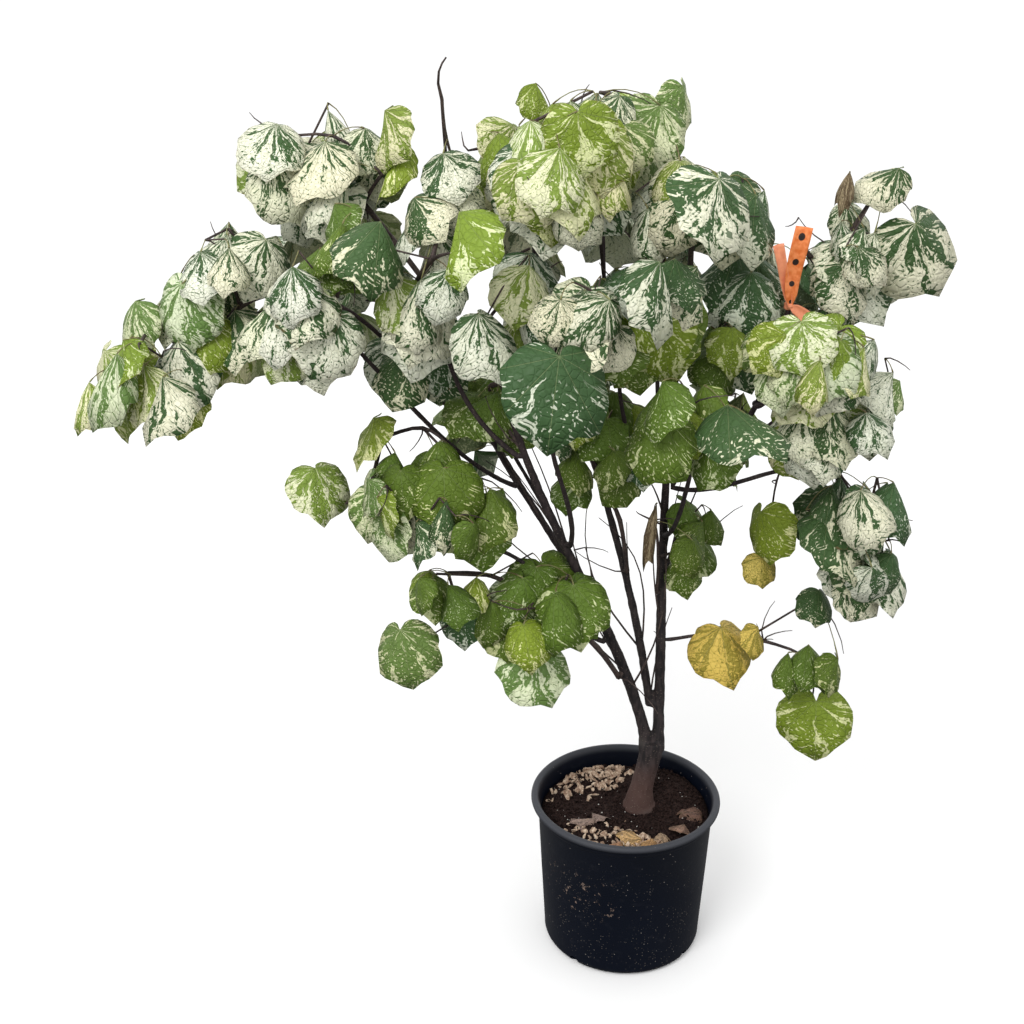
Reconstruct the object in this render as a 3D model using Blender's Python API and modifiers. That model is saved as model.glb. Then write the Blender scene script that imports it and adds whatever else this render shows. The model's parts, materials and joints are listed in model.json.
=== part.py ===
"""A variegated redbud, about 1.3 m tall, in a black nursery pot.

The pot stands on z = 0 with its middle at the origin, +X is to the right and -Y is the front.
Two stems part just above the soil. Boughs leave them, and each bough ends where it enters a
mass of foliage: twigs that branch from one stem by a seeded rule, with heart-shaped leaves
that hang from long stalks. Every mass keeps to its own share of the crown.
"""

import math
import random
from collections import namedtuple

import bmesh
import bpy
import numpy as np
from mathutils import Matrix, Vector
from mathutils.bvhtree import BVHTree

# Sizes in metres
GAP = 0.0003
POT_HEIGHT = 0.245
POT_RIM_RADIUS = 0.142
POT_NECK_RADIUS = 0.1315
POT_BASE_RADIUS = 0.1195
POT_CORNER = 0.012
POT_WALL = 0.003
POT_LIP = 0.0055
POT_STEPS = 30
DRAIN_HOLES = 4
DRAIN_RADIUS = 0.008
DRAIN_TURN = math.radians(49)
SOIL_TOP = 0.222
SOIL_EDGE_DROP = 0.009
SOIL_FLAT_RADIUS = 0.085

TRUNK_FOOT = Vector((0.022, 0.003, SOIL_TOP + GAP))
TRUNK_TOP = Vector((0.037, 0.006, 0.334))
TRUNK_FOOT_RADIUS = 0.026
TRUNK_RADIUS = 0.0165
TRUNK_TOP_RADIUS = 0.0185
LEVEL_END = 0.06

LEAF_THICKNESS = 0.003
LEAF_DOME = 0.14
LEAF_MIDDLE = 0.4
LEAF_MARGIN = 0.0012
TWIG_TIP = 0.0011
TWIG_GROWTH = 0.42
TWIG_STEP = 0.07
COLLAR = 0.006
LIMB_CLEARANCE = 0.002

STEM_SPACING = 0.0092
CURVE_HANDLE = 0.36
LIMB_STEP = 0.085

SPRAY_SHARE = 0.035
TWIG_SHARE = 0.035
TWIG_MARGIN = 0.0045
TWIG_ARCH = 0.10
TWIG_CHOICES = 10
TWIG_CHECK = 0.006
SHARP_BEND = 0.35
SLEEVE = 0.004
SIDE_TWIG = 0.6
STALK_RADII = (0.0007, 0.0007)
STALK_SUNK = 0.2
LONGEST_STALK = 0.095
FROM_BEHIND = 0.05
HUB_BACK = 0.03
STALK = 0.42
STALK_UP, STALK_BACK, STALK_OVER = 0.35, 0.8, 0.2
STALK_CHECKED = 0.85
LEAF_APART = 0.85
LEAF_TRIES = 90
LEAF_CROWDING = 0.997
LEAF_SPREAD = (0.86, 1.10)
LEAF_CORE = 1.03
FACE_LIFT = 0.35
FACE_TURN = math.radians(28)
FACE_TILT = 0.22
TIP_SWAY = math.radians(16)

TAPE_THICKNESS = 0.0012
TAPE_RING = 0.003
TAPE_SHARE = 0.84
# Each strip of the tape: where it goes on from the knot, and its widths
TAPE_STRIPS = (
    (((0.001, -0.003, 0.045), (0.010, -0.004, 0.105)), (0.012, 0.021, 0.023)),
    (((-0.010, -0.002, 0.035), (-0.022, -0.004, 0.082)), (0.010, 0.012, 0.015)),
    (((0.018, -0.006, -0.010), (0.042, -0.010, -0.030)), (0.010, 0.016, 0.018)),
)

# The tape shows in a gap of the crown that opens to the front
TAPE_MIDDLE = Vector((0.207, -0.045, 1.055))
TAPE_OPENING = Vector((-0.19, -0.95, 0.22))
TAPE_GAP = 0.05
TAPE_GAP_STEP = 0.04
TAPE_GAP_STEPS = 5

CROWN_AXIS = Vector((-0.12, 0.04, 0.0))
UP = Vector((0.0, 0.0, 1.0))

# Half of a leaf's outline, in leaf lengths: across and towards the tip, from the stalk's end
LEAF_HALF = ((0.25, -0.15), (0.55, 0.17), (0.42, 0.62))

# How far below the blade's crown its surface is where the stalk ends, in leaf lengths
STALK_DROP = LEAF_DOME * (LEAF_HALF[0][0] ** 2 + (LEAF_MIDDLE - LEAF_HALF[0][1]) ** 2) * (
    LEAF_MIDDLE / (LEAF_MIDDLE - LEAF_HALF[0][1])
)

# Radii of a limb at its foot and at its tip
LEFT_STEM = (0.0088, 0.0045)
RIGHT_STEM = (0.0085, 0.0036)
STRONG = (0.0065, 0.0040)
MIDDLING = (0.0045, 0.0030)
SLIM = (0.0035, 0.0026)

# A limb leaves its parent at a share of its length, heads one way and arrives another
Limb = namedtuple("Limb", "parent along tip leave arrive radii")

# A leaf hangs from its place: the way its upper side faces, the way its tip points, its length
Leaf = namedtuple("Leaf", "place normal tip length tint")

# A spray is a cluster of leaves in its mass: how many, how long, where they face, and their tint
Spray = namedtuple("Spray", "centre radii leaves size face tint")

LIMBS = {
    "left_stem": Limb(
        "trunk", 1, (-0.178, -0.09, 0.90), (-0.25, -0.05, 1), (-0.25, -0.1, 1), LEFT_STEM),
    "right_stem": Limb(
        "trunk", 1, (0.058, -0.02, 1.01), (0, 0.08, 1), (0.1, -0.35, 1), RIGHT_STEM),
    "left_outer_bough": Limb(
        "left_stem", 0.13, (-0.262, 0.07, 0.97), (-0.25, 0.5, 0.85), (-0.2, 0, 1), STRONG),
    "centre_bough": Limb(
        "right_stem", 0.18, (-0.115, 0.08, 0.93), (-0.15, 0.1, 1), (-0.35, 0.1, 1), STRONG),
    "right_bough": Limb(
        "right_stem", 0.64, (0.196, 0.005, 1.075), (0.9, -0.3, 0.5), (0, 0, 1), MIDDLING),
    "far_left_bough": Limb(
        "left_outer_bough", 0.78, (-0.46, 0.02, 1.01), (-0.8, 0, 0.5), (-1, 0, 0.1), SLIM),
    "left_front_bough": Limb(
        "left_outer_bough", 0.66, (-0.40, -0.085, 1.0), (-0.6, -0.7, 0.5), (-0.5, -0.4, 0.7), SLIM),
    "left_mid_bough": Limb(
        "left_stem", 0.88, (-0.262, -0.07, 1.02), (-0.9, 0.2, 0.6), (0, -0.1, 1), SLIM),
    "front_bough": Limb(
        "left_stem", 0.66, (-0.125, -0.19, 0.93), (0.1, -0.6, 0.8), (0.1, -0.4, 1), SLIM),
    "top_bough": Limb(
        "centre_bough", 0.90, (-0.055, 0.03, 1.13), (0.8, -0.2, 0.6), (0.1, 0, 1), SLIM),
    "middle_bough": Limb(
        "centre_bough", 0.62, (-0.03, -0.03, 0.91), (0.7, -0.5, 0.6), (0, -0.3, 1), SLIM),
    "flat_right_bough": Limb(
        "right_stem", 0.53, (0.065, -0.12, 0.86), (0.1, -0.9, 0.4), (0, -0.5, 0.7), SLIM),
    "right_shelf_bough": Limb(
        "right_bough", 0.55, (0.205, -0.07, 0.965), (0.3, -0.9, 0.3), (0.2, -0.8, 0.5), SLIM),
    "right_lower_bough": Limb(
        "right_bough", 0.30, (0.215, -0.03, 0.86), (0.8, -0.5, 0.2), (0.9, -0.3, 0.1), SLIM),
    "right_hang_bough": Limb(
        "right_bough", 0.16, (0.262, -0.03, 0.775), (0.8, -0.3, -0.1), (0.9, -0.1, -0.3), SLIM),
    "low_left_bough": Limb(
        "left_stem", 0.40, (-0.195, -0.07, 0.68), (-0.7, -0.6, 0.5), (-1, 0, 0.3), SLIM),
    "back_left_bough": Limb(
        "left_outer_bough", 0.60, (-0.355, 0.19, 0.95), (-0.5, 0.8, 0.4), (-0.8, 0.4, 0.4), SLIM),
    "back_low_left_bough": Limb(
        "left_outer_bough", 0.38, (-0.17, 0.19, 0.72), (-0.2, 0.9, 0.2), (-0.4, 0.8, 0.4), SLIM),
    "back_centre_bough": Limb(
        "centre_bough", 0.70, (-0.185, 0.21, 1.00), (-0.2, 0.9, 0.5), (-0.1, 0.5, 0.9), SLIM),
    "back_top_bough": Limb(
        "centre_bough", 0.84, (-0.045, 0.15, 1.08), (0.5, 0.7, 0.6), (0, 0.2, 1), SLIM),
    "back_mid_bough": Limb(
        "right_stem", 0.70, (0.045, 0.21, 0.97), (-0.2, 0.9, 0.5), (0, 0.5, 0.9), SLIM),
    "back_right_bough": Limb(
        "right_bough", 0.24, (0.175, 0.15, 0.90), (0.3, 0.9, 0.3), (0.4, 0.7, 0.5), SLIM),
    "back_low_right_bough": Limb(
        "right_stem", 0.44, (0.115, 0.16, 0.74), (0.4, 0.9, 0.3), (0.6, 0.6, 0.5), SLIM),
}

FRONT = (0, -1, 0.35)
LEFT = (-0.6, -0.8, 0.3)
RIGHT = (0.5, -0.9, 0.3)
SKY = (0, -0.25, 1)
OUT = None

# Each mass: the limb its stem grows from, the share of that limb's length, the seed, the sprays
MASSES = {
    "far_left_foliage": ("far_left_bough", 1, 11, (
        Spray((-0.655, -0.06, 0.905), (0.06, 0.05, 0.035), 6, 0.092, LEFT, "lime"),
        Spray((-0.565, 0.0, 0.985), (0.058, 0.06, 0.052), 7, 0.090, LEFT, "pale"),
        Spray((-0.665, 0.0, 0.968), (0.008, 0.01, 0.008), 1, 0.078, LEFT, "pale"),
        Spray((-0.53, -0.02, 1.065), (0.04, 0.04, 0.02), 3, 0.088, FRONT, "white"),
    )),
    "left_front_foliage": ("left_front_bough", 1, 12, (
        Spray((-0.415, -0.12, 1.012), (0.05, 0.04, 0.045), 7, 0.085, FRONT, "white"),
        Spray((-0.375, -0.09, 1.09), (0.04, 0.03, 0.03), 3, 0.080, FRONT, "green"),
    )),
    "upper_left_foliage": ("left_outer_bough", 1, 13, (
        Spray((-0.42, 0.05, 1.155), (0.065, 0.05, 0.055), 9, 0.092, FRONT, "white"),
        Spray((-0.325, -0.02, 1.185), (0.02, 0.02, 0.03), 3, 0.098, LEFT, "lime"),
    )),
    "left_mid_foliage": ("left_mid_bough", 1, 14, (
        Spray((-0.285, -0.10, 1.055), (0.06, 0.05, 0.06), 8, 0.092, FRONT, "white"),
        Spray((-0.235, -0.19, 1.125), (0.01, 0.01, 0.01), 1, 0.090, FRONT, "lime"),
        Spray((-0.335, -0.15, 1.10), (0.012, 0.01, 0.01), 1, 0.105, FRONT, "dark"),
        Spray((-0.258, -0.04, 1.16), (0.035, 0.03, 0.04), 4, 0.085, FRONT, "white"),
        Spray((-0.315, -0.03, 0.92), (0.05, 0.04, 0.035), 4, 0.085, FRONT, "dark"),
        Spray((-0.25, -0.06, 1.316), (0.005, 0.005, 0.005), 0, 0.0, OUT, "bare"),
    )),
    "centre_left_foliage": ("left_stem", 1, 15, (
        Spray((-0.21, -0.17, 1.0), (0.02, 0.02, 0.02), 2, 0.098, FRONT, "white"),
        Spray((-0.16, -0.08, 1.03), (0.045, 0.05, 0.05), 5, 0.085, FRONT, "white"),
    )),
    "front_foliage": ("front_bough", 1, 16, (
        Spray((-0.12, -0.28, 0.968), (0.006, 0.006, 0.006), 1, 0.108, FRONT, "dark"),
        Spray((-0.085, -0.20, 1.03), (0.035, 0.03, 0.035), 4, 0.084, FRONT, "white"),
    )),
    "top_left_foliage": ("centre_bough", 1, 17, (
        Spray((-0.16, 0.0, 1.165), (0.05, 0.05, 0.042), 6, 0.090, FRONT, "cream"),
        Spray((-0.11, -0.10, 1.175), (0.06, 0.05, 0.058), 9, 0.092, FRONT, "cream"),
        Spray((-0.13, 0.02, 1.252), (0.008, 0.008, 0.008), 1, 0.056, FRONT, "lime"),
    )),
    "top_foliage": ("top_bough", 1, 18, (
        Spray((-0.05, 0.02, 1.205), (0.065, 0.05, 0.035), 9, 0.080, FRONT, "lime"),
        Spray((0.045, 0.05, 1.245), (0.005, 0.005, 0.005), 1, 0.062, RIGHT, "pale"),
    )),
    "right_upper_foliage": ("right_stem", 1, 19, (
        Spray((0.07, -0.15, 1.15), (0.006, 0.006, 0.006), 1, 0.108, FRONT, "white"),
        Spray((0.03, -0.05, 1.12), (0.055, 0.05, 0.05), 7, 0.088, FRONT, "white"),
        Spray((0.12, -0.01, 1.10), (0.03, 0.04, 0.04), 4, 0.085, RIGHT, "dark"),
    )),
    "middle_foliage": ("middle_bough", 1, 21, (
        Spray((-0.03, -0.07, 0.985), (0.06, 0.07, 0.06), 9, 0.088, FRONT, "green"),
        Spray((0.015, -0.14, 1.05), (0.04, 0.03, 0.03), 3, 0.085, FRONT, "dark"),
        Spray((0.0, -0.22, 1.07), (0.006, 0.006, 0.006), 1, 0.108, FRONT, "white"),
    )),
    "flat_right_foliage": ("flat_right_bough", 1, 22, (
        Spray((0.11, -0.235, 0.925), (0.02, 0.015, 0.012), 1, 0.105, SKY, "dark"),
        Spray((0.03, -0.17, 0.89), (0.045, 0.035, 0.04), 5, 0.085, FRONT, "green"),
    )),
    "right_back_foliage": ("right_bough", 0.74, 23, (
        Spray((0.135, 0.01, 1.02), (0.045, 0.04, 0.05), 6, 0.088, FRONT, "dark"),
        Spray((0.117, -0.02, 0.94), (0.035, 0.04, 0.03), 3, 0.082, FRONT, "green"),
    )),
    "right_tip_foliage": ("right_bough", 1, 24, (
        Spray((0.27, 0.015, 1.045), (0.034, 0.045, 0.048), 7, 0.080, RIGHT, "white"),
        Spray((0.292, 0.0, 1.158), (0.012, 0.01, 0.01), 1, 0.075, FRONT, "white"),
        Spray((0.255, 0.0, 1.150), (0.005, 0.005, 0.005), 1, 0.050, FRONT, "brown"),
        Spray((0.358, 0.0, 1.07), (0.005, 0.005, 0.005), 1, 0.098, FRONT, "white"),
    )),
    "right_shelf_foliage": ("right_shelf_bough", 1, 25, (
        Spray((0.19, -0.12, 0.955), (0.058, 0.045, 0.035), 8, 0.082, FRONT, "lime"),
    )),
    "right_lower_foliage": ("right_lower_bough", 1, 26, (
        Spray((0.235, -0.06, 0.875), (0.068, 0.06, 0.058), 10, 0.086, RIGHT, "white"),
        Spray((0.338, -0.03, 0.885), (0.006, 0.006, 0.006), 1, 0.052, FRONT, "pale"),
        Spray((0.170, -0.06, 0.705), (0.006, 0.006, 0.006), 1, 0.070, FRONT, "lime"),
        Spray((0.172, -0.06, 0.640), (0.006, 0.006, 0.006), 1, 0.050, FRONT, "yellow"),
    )),
    "right_hang_foliage": ("right_hang_bough", 1, 27, (
        Spray((0.278, -0.08, 0.735), (0.05, 0.05, 0.045), 6, 0.092, RIGHT, "dark"),
        Spray((0.310, -0.08, 0.655), (0.038, 0.045, 0.035), 4, 0.092, RIGHT, "dark"),
    )),
    "low_right_foliage": ("right_stem", 0.31, 28, (
        Spray((0.248, -0.05, 0.485), (0.03, 0.015, 0.015), 3, 0.066, FRONT, "green"),
        Spray((0.264, -0.05, 0.395), (0.008, 0.01, 0.008), 1, 0.100, FRONT, "lime"),
        Spray((0.132, -0.04, 0.507), (0.005, 0.005, 0.005), 1, 0.078, FRONT, "yellow"),
        Spray((0.176, -0.04, 0.522), (0.005, 0.005, 0.005), 1, 0.048, FRONT, "yellow"),
        Spray((0.25, -0.05, 0.59), (0.005, 0.005, 0.005), 1, 0.058, FRONT, "dark"),
    )),
    "low_left_foliage": ("low_left_bough", 1, 29, (
        Spray((-0.255, -0.08, 0.74), (0.07, 0.065, 0.065), 10, 0.085, FRONT, "green"),
        Spray((-0.33, -0.09, 0.74), (0.03, 0.03, 0.04), 3, 0.075, LEFT, "pale"),
        Spray((-0.43, -0.05, 0.735), (0.02, 0.02, 0.025), 2, 0.082, LEFT, "pale"),
        Spray((-0.355, -0.03, 0.836), (0.02, 0.02, 0.015), 2, 0.080, LEFT, "pale"),
        Spray((-0.29, -0.05, 0.845), (0.015, 0.02, 0.012), 1, 0.078, FRONT, "green"),
    )),
    "low_middle_foliage": ("left_stem", 0.30, 31, (
        Spray((-0.128, -0.10, 0.608), (0.062, 0.05, 0.04), 6, 0.082, FRONT, "green"),
        Spray((-0.135, -0.12, 0.525), (0.006, 0.006, 0.006), 1, 0.085, FRONT, "pale"),
        Spray((-0.262, -0.10, 0.655), (0.045, 0.04, 0.025), 4, 0.074, FRONT, "green"),
        Spray((-0.240, -0.10, 0.582), (0.006, 0.006, 0.006), 1, 0.055, FRONT, "dark"),
        Spray((-0.314, -0.15, 0.56), (0.005, 0.005, 0.005), 1, 0.075, FRONT, "pale"),
    )),
    "inner_foliage": ("centre_bough", 0.45, 32, (
        Spray((-0.05, 0.01, 0.79), (0.06, 0.05, 0.055), 7, 0.072, FRONT, "green"),
    )),
    "inner_left_foliage": ("left_stem", 0.90, 33, (
        Spray((-0.20, -0.01, 0.85), (0.04, 0.035, 0.035), 4, 0.072, FRONT, "green"),
    )),
    "stem_side_foliage": ("right_stem", 0.41, 34, (
        Spray((0.022, -0.03, 0.70), (0.02, 0.02, 0.03), 2, 0.080, FRONT, "brown"),
        Spray((0.085, 0.0, 0.66), (0.03, 0.035, 0.05), 4, 0.074, FRONT, "green"),
    )),
    "back_left_foliage": ("back_left_bough", 1, 35, (
        Spray((-0.45, 0.22, 0.985), (0.08, 0.07, 0.07), 7, 0.092, OUT, "white"),
        Spray((-0.585, 0.12, 0.925), (0.05, 0.05, 0.04), 4, 0.090, OUT, "lime"),
    )),
    "back_low_left_foliage": ("back_low_left_bough", 1, 36, (
        Spray((-0.23, 0.24, 0.77), (0.065, 0.06, 0.06), 6, 0.086, OUT, "green"),
    )),
    "back_centre_foliage": ("back_centre_bough", 1, 37, (
        Spray((-0.20, 0.28, 1.045), (0.085, 0.06, 0.06), 8, 0.092, OUT, "white"),
    )),
    "back_top_foliage": ("back_top_bough", 1, 38, (
        Spray((-0.06, 0.17, 1.165), (0.07, 0.06, 0.045), 8, 0.088, OUT, "cream"),
    )),
    "back_mid_foliage": ("back_mid_bough", 1, 39, (
        Spray((0.05, 0.28, 1.02), (0.08, 0.06, 0.07), 7, 0.092, OUT, "white"),
    )),
    "back_right_foliage": ("back_right_bough", 1, 40, (
        Spray((0.235, 0.20, 0.95), (0.07, 0.07, 0.07), 7, 0.090, OUT, "dark"),
    )),
    "back_low_right_foliage": ("back_low_right_bough", 1, 41, (
        Spray((0.15, 0.21, 0.75), (0.05, 0.05, 0.05), 6, 0.082, OUT, "green"),
    )),
}

TINT_COLOURS = {
    "white": (0.70, 0.72, 0.60),
    "cream": (0.74, 0.75, 0.52),
    "pale": (0.48, 0.58, 0.36),
    "lime": (0.36, 0.50, 0.10),
    "green": (0.12, 0.24, 0.06),
    "dark": (0.06, 0.14, 0.07),
    "brown": (0.30, 0.20, 0.09),
}


def clear_scene():
    for thing in list(bpy.data.objects):
        bpy.data.objects.remove(thing)


def material(name, colour, roughness):
    finish = bpy.data.materials.new(name)
    finish.use_nodes = True
    shader = finish.node_tree.nodes["Principled BSDF"]
    shader.inputs["Base Color"].default_value = (*colour, 1.0)
    shader.inputs["Roughness"].default_value = roughness
    shader.inputs["Metallic"].default_value = 0.0
    return finish


def new_object(name, bm, collection, finish=None):
    mesh = bpy.data.meshes.new(name)
    bm.to_mesh(mesh)
    bm.free()
    thing = bpy.data.objects.new(name, mesh)
    collection.objects.link(thing)
    if finish:
        mesh.materials.append(finish)
    return thing


def bezier(start, leave, arrive, end, share):
    rest = 1 - share
    return (
        start * rest**3
        + leave * (3 * share * rest**2)
        + arrive * (3 * share**2 * rest)
        + end * share**3
    )


def direction(vector):
    return Vector(vector).normalized()


def loft(path, sections):
    """A closed solid through one ring of points after another, all with the same number of corners."""
    bm = bmesh.new()
    rings = [
        [bm.verts.new(centre + offset) for offset in section]
        for centre, section in zip(path, sections)
    ]
    sides = len(rings[0])
    for low, high in zip(rings, rings[1:]):
        for i in range(sides):
            j = (i + 1) % sides
            bm.faces.new((low[i], low[j], high[j], high[i]))
    bm.faces.new(rings[0][::-1])
    bm.faces.new(rings[-1])
    bmesh.ops.triangulate(bm, faces=bm.faces)
    bmesh.ops.recalc_face_normals(bm, faces=bm.faces)
    return bm


def tube(path, radii, sides, turn=0.0):
    """A tapering tube of a few flat sides, its rings square to the path."""
    sections = []
    across = direction(path[1] - path[0]).orthogonal()
    for i, radius in enumerate(radii):
        ahead = direction(path[min(i + 1, len(path) - 1)] - path[max(i - 1, 0)])
        across = direction(across - ahead * across.dot(ahead))
        other = ahead.cross(across)
        angles = [turn + math.tau * k / sides for k in range(sides)]
        sections.append([(across * math.cos(a) + other * math.sin(a)) * radius for a in angles])
    return loft(path, sections)


def side_start(route, share, leave):
    """Where a limb leaves the side of another: just off its bark, and the way straight out."""
    place = share * (len(route) - 1)
    low = min(int(place), len(route) - 2)
    (a, thick_a), (b, thick_b) = route[low], route[low + 1]
    centre = a.lerp(b, place - low)
    thick = thick_a + (thick_b - thick_a) * (place - low)
    along = direction(b - a)
    out = direction(leave - along * leave.dot(along))
    return centre + out * (thick + GAP), out


def trunk_route():
    """The trunk leans, but both of its ends are level."""
    rise = TRUNK_TOP - TRUNK_FOOT
    shape = (
        (0.0, TRUNK_FOOT_RADIUS),
        (LEVEL_END, 0.6 * TRUNK_FOOT_RADIUS + 0.4 * TRUNK_RADIUS),
        (0.25, TRUNK_RADIUS * 1.08),
        (0.50, TRUNK_RADIUS),
        (0.75, TRUNK_RADIUS * 1.02),
        (1 - LEVEL_END, TRUNK_TOP_RADIUS),
        (1.0, TRUNK_TOP_RADIUS),
    )
    route = []
    for share, radius in shape:
        lean = min(max((share - LEVEL_END) / (1 - 2 * LEVEL_END), 0.0), 1.0)
        sideways = lean * lean * (3 - 2 * lean)
        point = TRUNK_FOOT + Vector((rise.x * sideways, rise.y * sideways, rise.z * share))
        route.append((point, radius))
    return route


def limb_route(limb, routes):
    """Points and radii along a limb: straight out of its parent, then one smooth curve to its tip."""
    leave, tip = direction(limb.leave), Vector(limb.tip)
    if limb.parent == "trunk":
        side = math.copysign(STEM_SPACING, leave.x)
        start, out = TRUNK_TOP + Vector((side, 0, GAP)), UP
    else:
        start, out = side_start(routes[limb.parent], limb.along, leave)
    first = start + out * COLLAR
    reach = (tip - first).length
    handle = reach * CURVE_HANDLE
    steps = max(3, round(reach / LIMB_STEP))
    thick, thin = limb.radii
    route = [(start, thick)]
    for i in range(steps + 1):
        share = i / steps
        point = bezier(
            first, first + leave * handle, tip - direction(limb.arrive) * handle, tip, share
        )
        route.append((point, thick + (thin - thick) * share))
    return route


def limb_object(name, route, sides, collection, finish):
    """A tapering limb, as a curve with a bevel and filled ends."""
    curve = bpy.data.curves.new(name, "CURVE")
    curve.dimensions = "3D"
    curve.bevel_depth = 1.0
    curve.bevel_resolution = sides // 2 - 2
    curve.use_fill_caps = True
    spline = curve.splines.new("POLY")
    spline.points.add(len(route) - 1)
    for point, (place, radius) in zip(spline.points, route):
        point.co = (*place, 1.0)
        point.radius = radius
    curve.materials.append(finish)
    limb = bpy.data.objects.new(name, curve)
    collection.objects.link(limb)
    return limb


def turned(name, profile, collection, finish):
    """A round solid: a profile of (radius, height) points turned about the Z axis."""
    bm = bmesh.new()
    verts = [bm.verts.new((radius, 0.0, height)) for radius, height in profile]
    for a, b in zip(verts, verts[1:]):
        bm.edges.new((a, b))
    thing = new_object(name, bm, collection, finish)
    screw = thing.modifiers.new("Turn", "SCREW")
    screw.axis = "Z"
    screw.steps = screw.render_steps = POT_STEPS
    screw.use_merge_vertices = True
    screw.merge_threshold = 0.0001
    screw.use_smooth_shade = True
    return thing


def arc(centre, radius, start, end, steps):
    """Points of (radius, height) round part of a circle, from one angle in degrees to another."""
    angles = [math.radians(start + (end - start) * i / steps) for i in range(steps + 1)]
    return [(centre[0] + radius * math.cos(a), centre[1] + radius * math.sin(a)) for a in angles]


def make_pot(collection, cutters):
    finish = material("pot plastic", (0.012, 0.014, 0.02), 0.45)
    lip_height = POT_HEIGHT - POT_LIP
    neck_height = POT_HEIGHT - 2 * POT_LIP
    corner = (POT_BASE_RADIUS - POT_CORNER, POT_CORNER)
    profile = [
        (0.0, POT_WALL),
        (POT_BASE_RADIUS - POT_CORNER, POT_WALL),
        (POT_BASE_RADIUS - POT_WALL, POT_CORNER),
        (POT_NECK_RADIUS - POT_WALL, neck_height),
        *arc((POT_RIM_RADIUS - POT_LIP, lip_height), POT_LIP, 180, -60, 5),
        (POT_NECK_RADIUS, neck_height),
        *arc(corner, POT_CORNER, 0, -90, 3),
        (0.0, 0.0),
    ]
    pot = turned("pot", profile, collection, finish)
    for hole in range(DRAIN_HOLES):
        turn = DRAIN_TURN + math.tau * hole / DRAIN_HOLES
        bpy.ops.mesh.primitive_cylinder_add(vertices=10, radius=DRAIN_RADIUS, depth=4 * POT_CORNER)
        cutter = bpy.context.object
        cutter.name = f"drain_cutter_{hole + 1}"
        reach = POT_BASE_RADIUS - 0.3 * POT_CORNER
        cutter.location = (reach * math.cos(turn), reach * math.sin(turn), 0.5 * POT_CORNER)
        cutter.rotation_euler = (0, math.radians(115), turn)
        cutter.hide_render = True
        cutter.display_type = "WIRE"
        for home in cutter.users_collection:
            home.objects.unlink(cutter)
        cutters.objects.link(cutter)
    cut = pot.modifiers.new("Drain holes", "BOOLEAN")
    cut.operand_type = "COLLECTION"
    cut.collection = cutters
    cut.operation = "DIFFERENCE"
    return pot


def make_soil(collection):
    finish = material("potting soil", (0.03, 0.02, 0.015), 0.95)
    bottom = POT_WALL + GAP
    wall = POT_WALL + GAP
    taper = (POT_NECK_RADIUS - POT_BASE_RADIUS) / (POT_HEIGHT - 2 * POT_LIP - POT_CORNER)
    edge_height = SOIL_TOP - SOIL_EDGE_DROP
    edge = POT_BASE_RADIUS + taper * (edge_height - POT_CORNER) - wall
    profile = [
        (0.0, SOIL_TOP),
        (SOIL_FLAT_RADIUS, SOIL_TOP),
        (edge, edge_height),
        (POT_BASE_RADIUS - wall, POT_CORNER + GAP),
        (POT_BASE_RADIUS - POT_CORNER - GAP, bottom),
        (0.0, bottom),
    ]
    return turned("soil", profile, collection, finish)


def ribbon(path, facing, widths):
    """A flat strip of tape along a path, its face turned one way."""
    sections = []
    for i, width in enumerate(widths):
        ahead = direction(path[min(i + 1, len(path) - 1)] - path[max(i - 1, 0)])
        across = direction(ahead.cross(facing))
        face = direction(across.cross(ahead))
        half, deep = across * width / 2, face * TAPE_THICKNESS / 2
        sections.append([half + deep, deep - half, -half - deep, half - deep])
    return loft(path, sections)


def make_tape(routes, collection, scraps):
    """Marker tape knotted round the right bough: a ring, two strips that stand up and one tail."""
    finish = material("marker tape", (0.9, 0.22, 0.05), 0.4)
    route = routes["right_bough"]
    place = TAPE_SHARE * (len(route) - 1)
    low = int(place)
    a, b = route[low][0], route[low + 1][0]
    centre, along = a.lerp(b, place - low), direction(b - a)
    inner = max(route[low][1], route[low + 1][1]) + GAP
    outer = inner + TAPE_RING
    turn = UP.rotation_difference(along).to_matrix().to_4x4()
    ring = bmesh.new()
    corners = [
        ring.verts.new(Vector((radius, 0, height)))
        for radius, height in (
            (inner * 1.1, -TAPE_RING), (outer, -TAPE_RING), (outer, TAPE_RING), (inner * 1.1, TAPE_RING)
        )
    ]
    edges = [ring.edges.new((corners[i], corners[(i + 1) % 4])) for i in range(4)]
    bmesh.ops.spin(
        ring, geom=corners + edges, axis=UP, cent=(0, 0, 0), angle=math.tau, steps=12, use_merge=True
    )
    bmesh.ops.recalc_face_normals(ring, faces=ring.faces)
    bmesh.ops.transform(ring, matrix=Matrix.Translation(centre) @ turn, verts=ring.verts)
    knot = centre + direction((0.25, -0.97, 0)) * (outer - TAPE_THICKNESS)
    pieces = [ring]
    for ends, widths in TAPE_STRIPS:
        path = [knot] + [knot + Vector(offset) for offset in ends]
        pieces.append(ribbon(path, Vector((0.1, -1, 0.2)), widths))
    return union("marker_tape", pieces, collection, scraps, finish)


def biggest_island(bm):
    """Keeps the largest closed body, and drops scraps and sealed hollows."""
    unseen, islands = set(bm.verts), []
    while unseen:
        front = [unseen.pop()]
        island = set(front)
        while front:
            for edge in front.pop().link_edges:
                for vert in edge.verts:
                    if vert in unseen:
                        unseen.remove(vert)
                        island.add(vert)
                        front.append(vert)
        islands.append(island)
    keep = max(islands, key=len)
    bmesh.ops.delete(bm, geom=[v for v in bm.verts if v not in keep], context="VERTS")
    return len(islands) - 1


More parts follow.
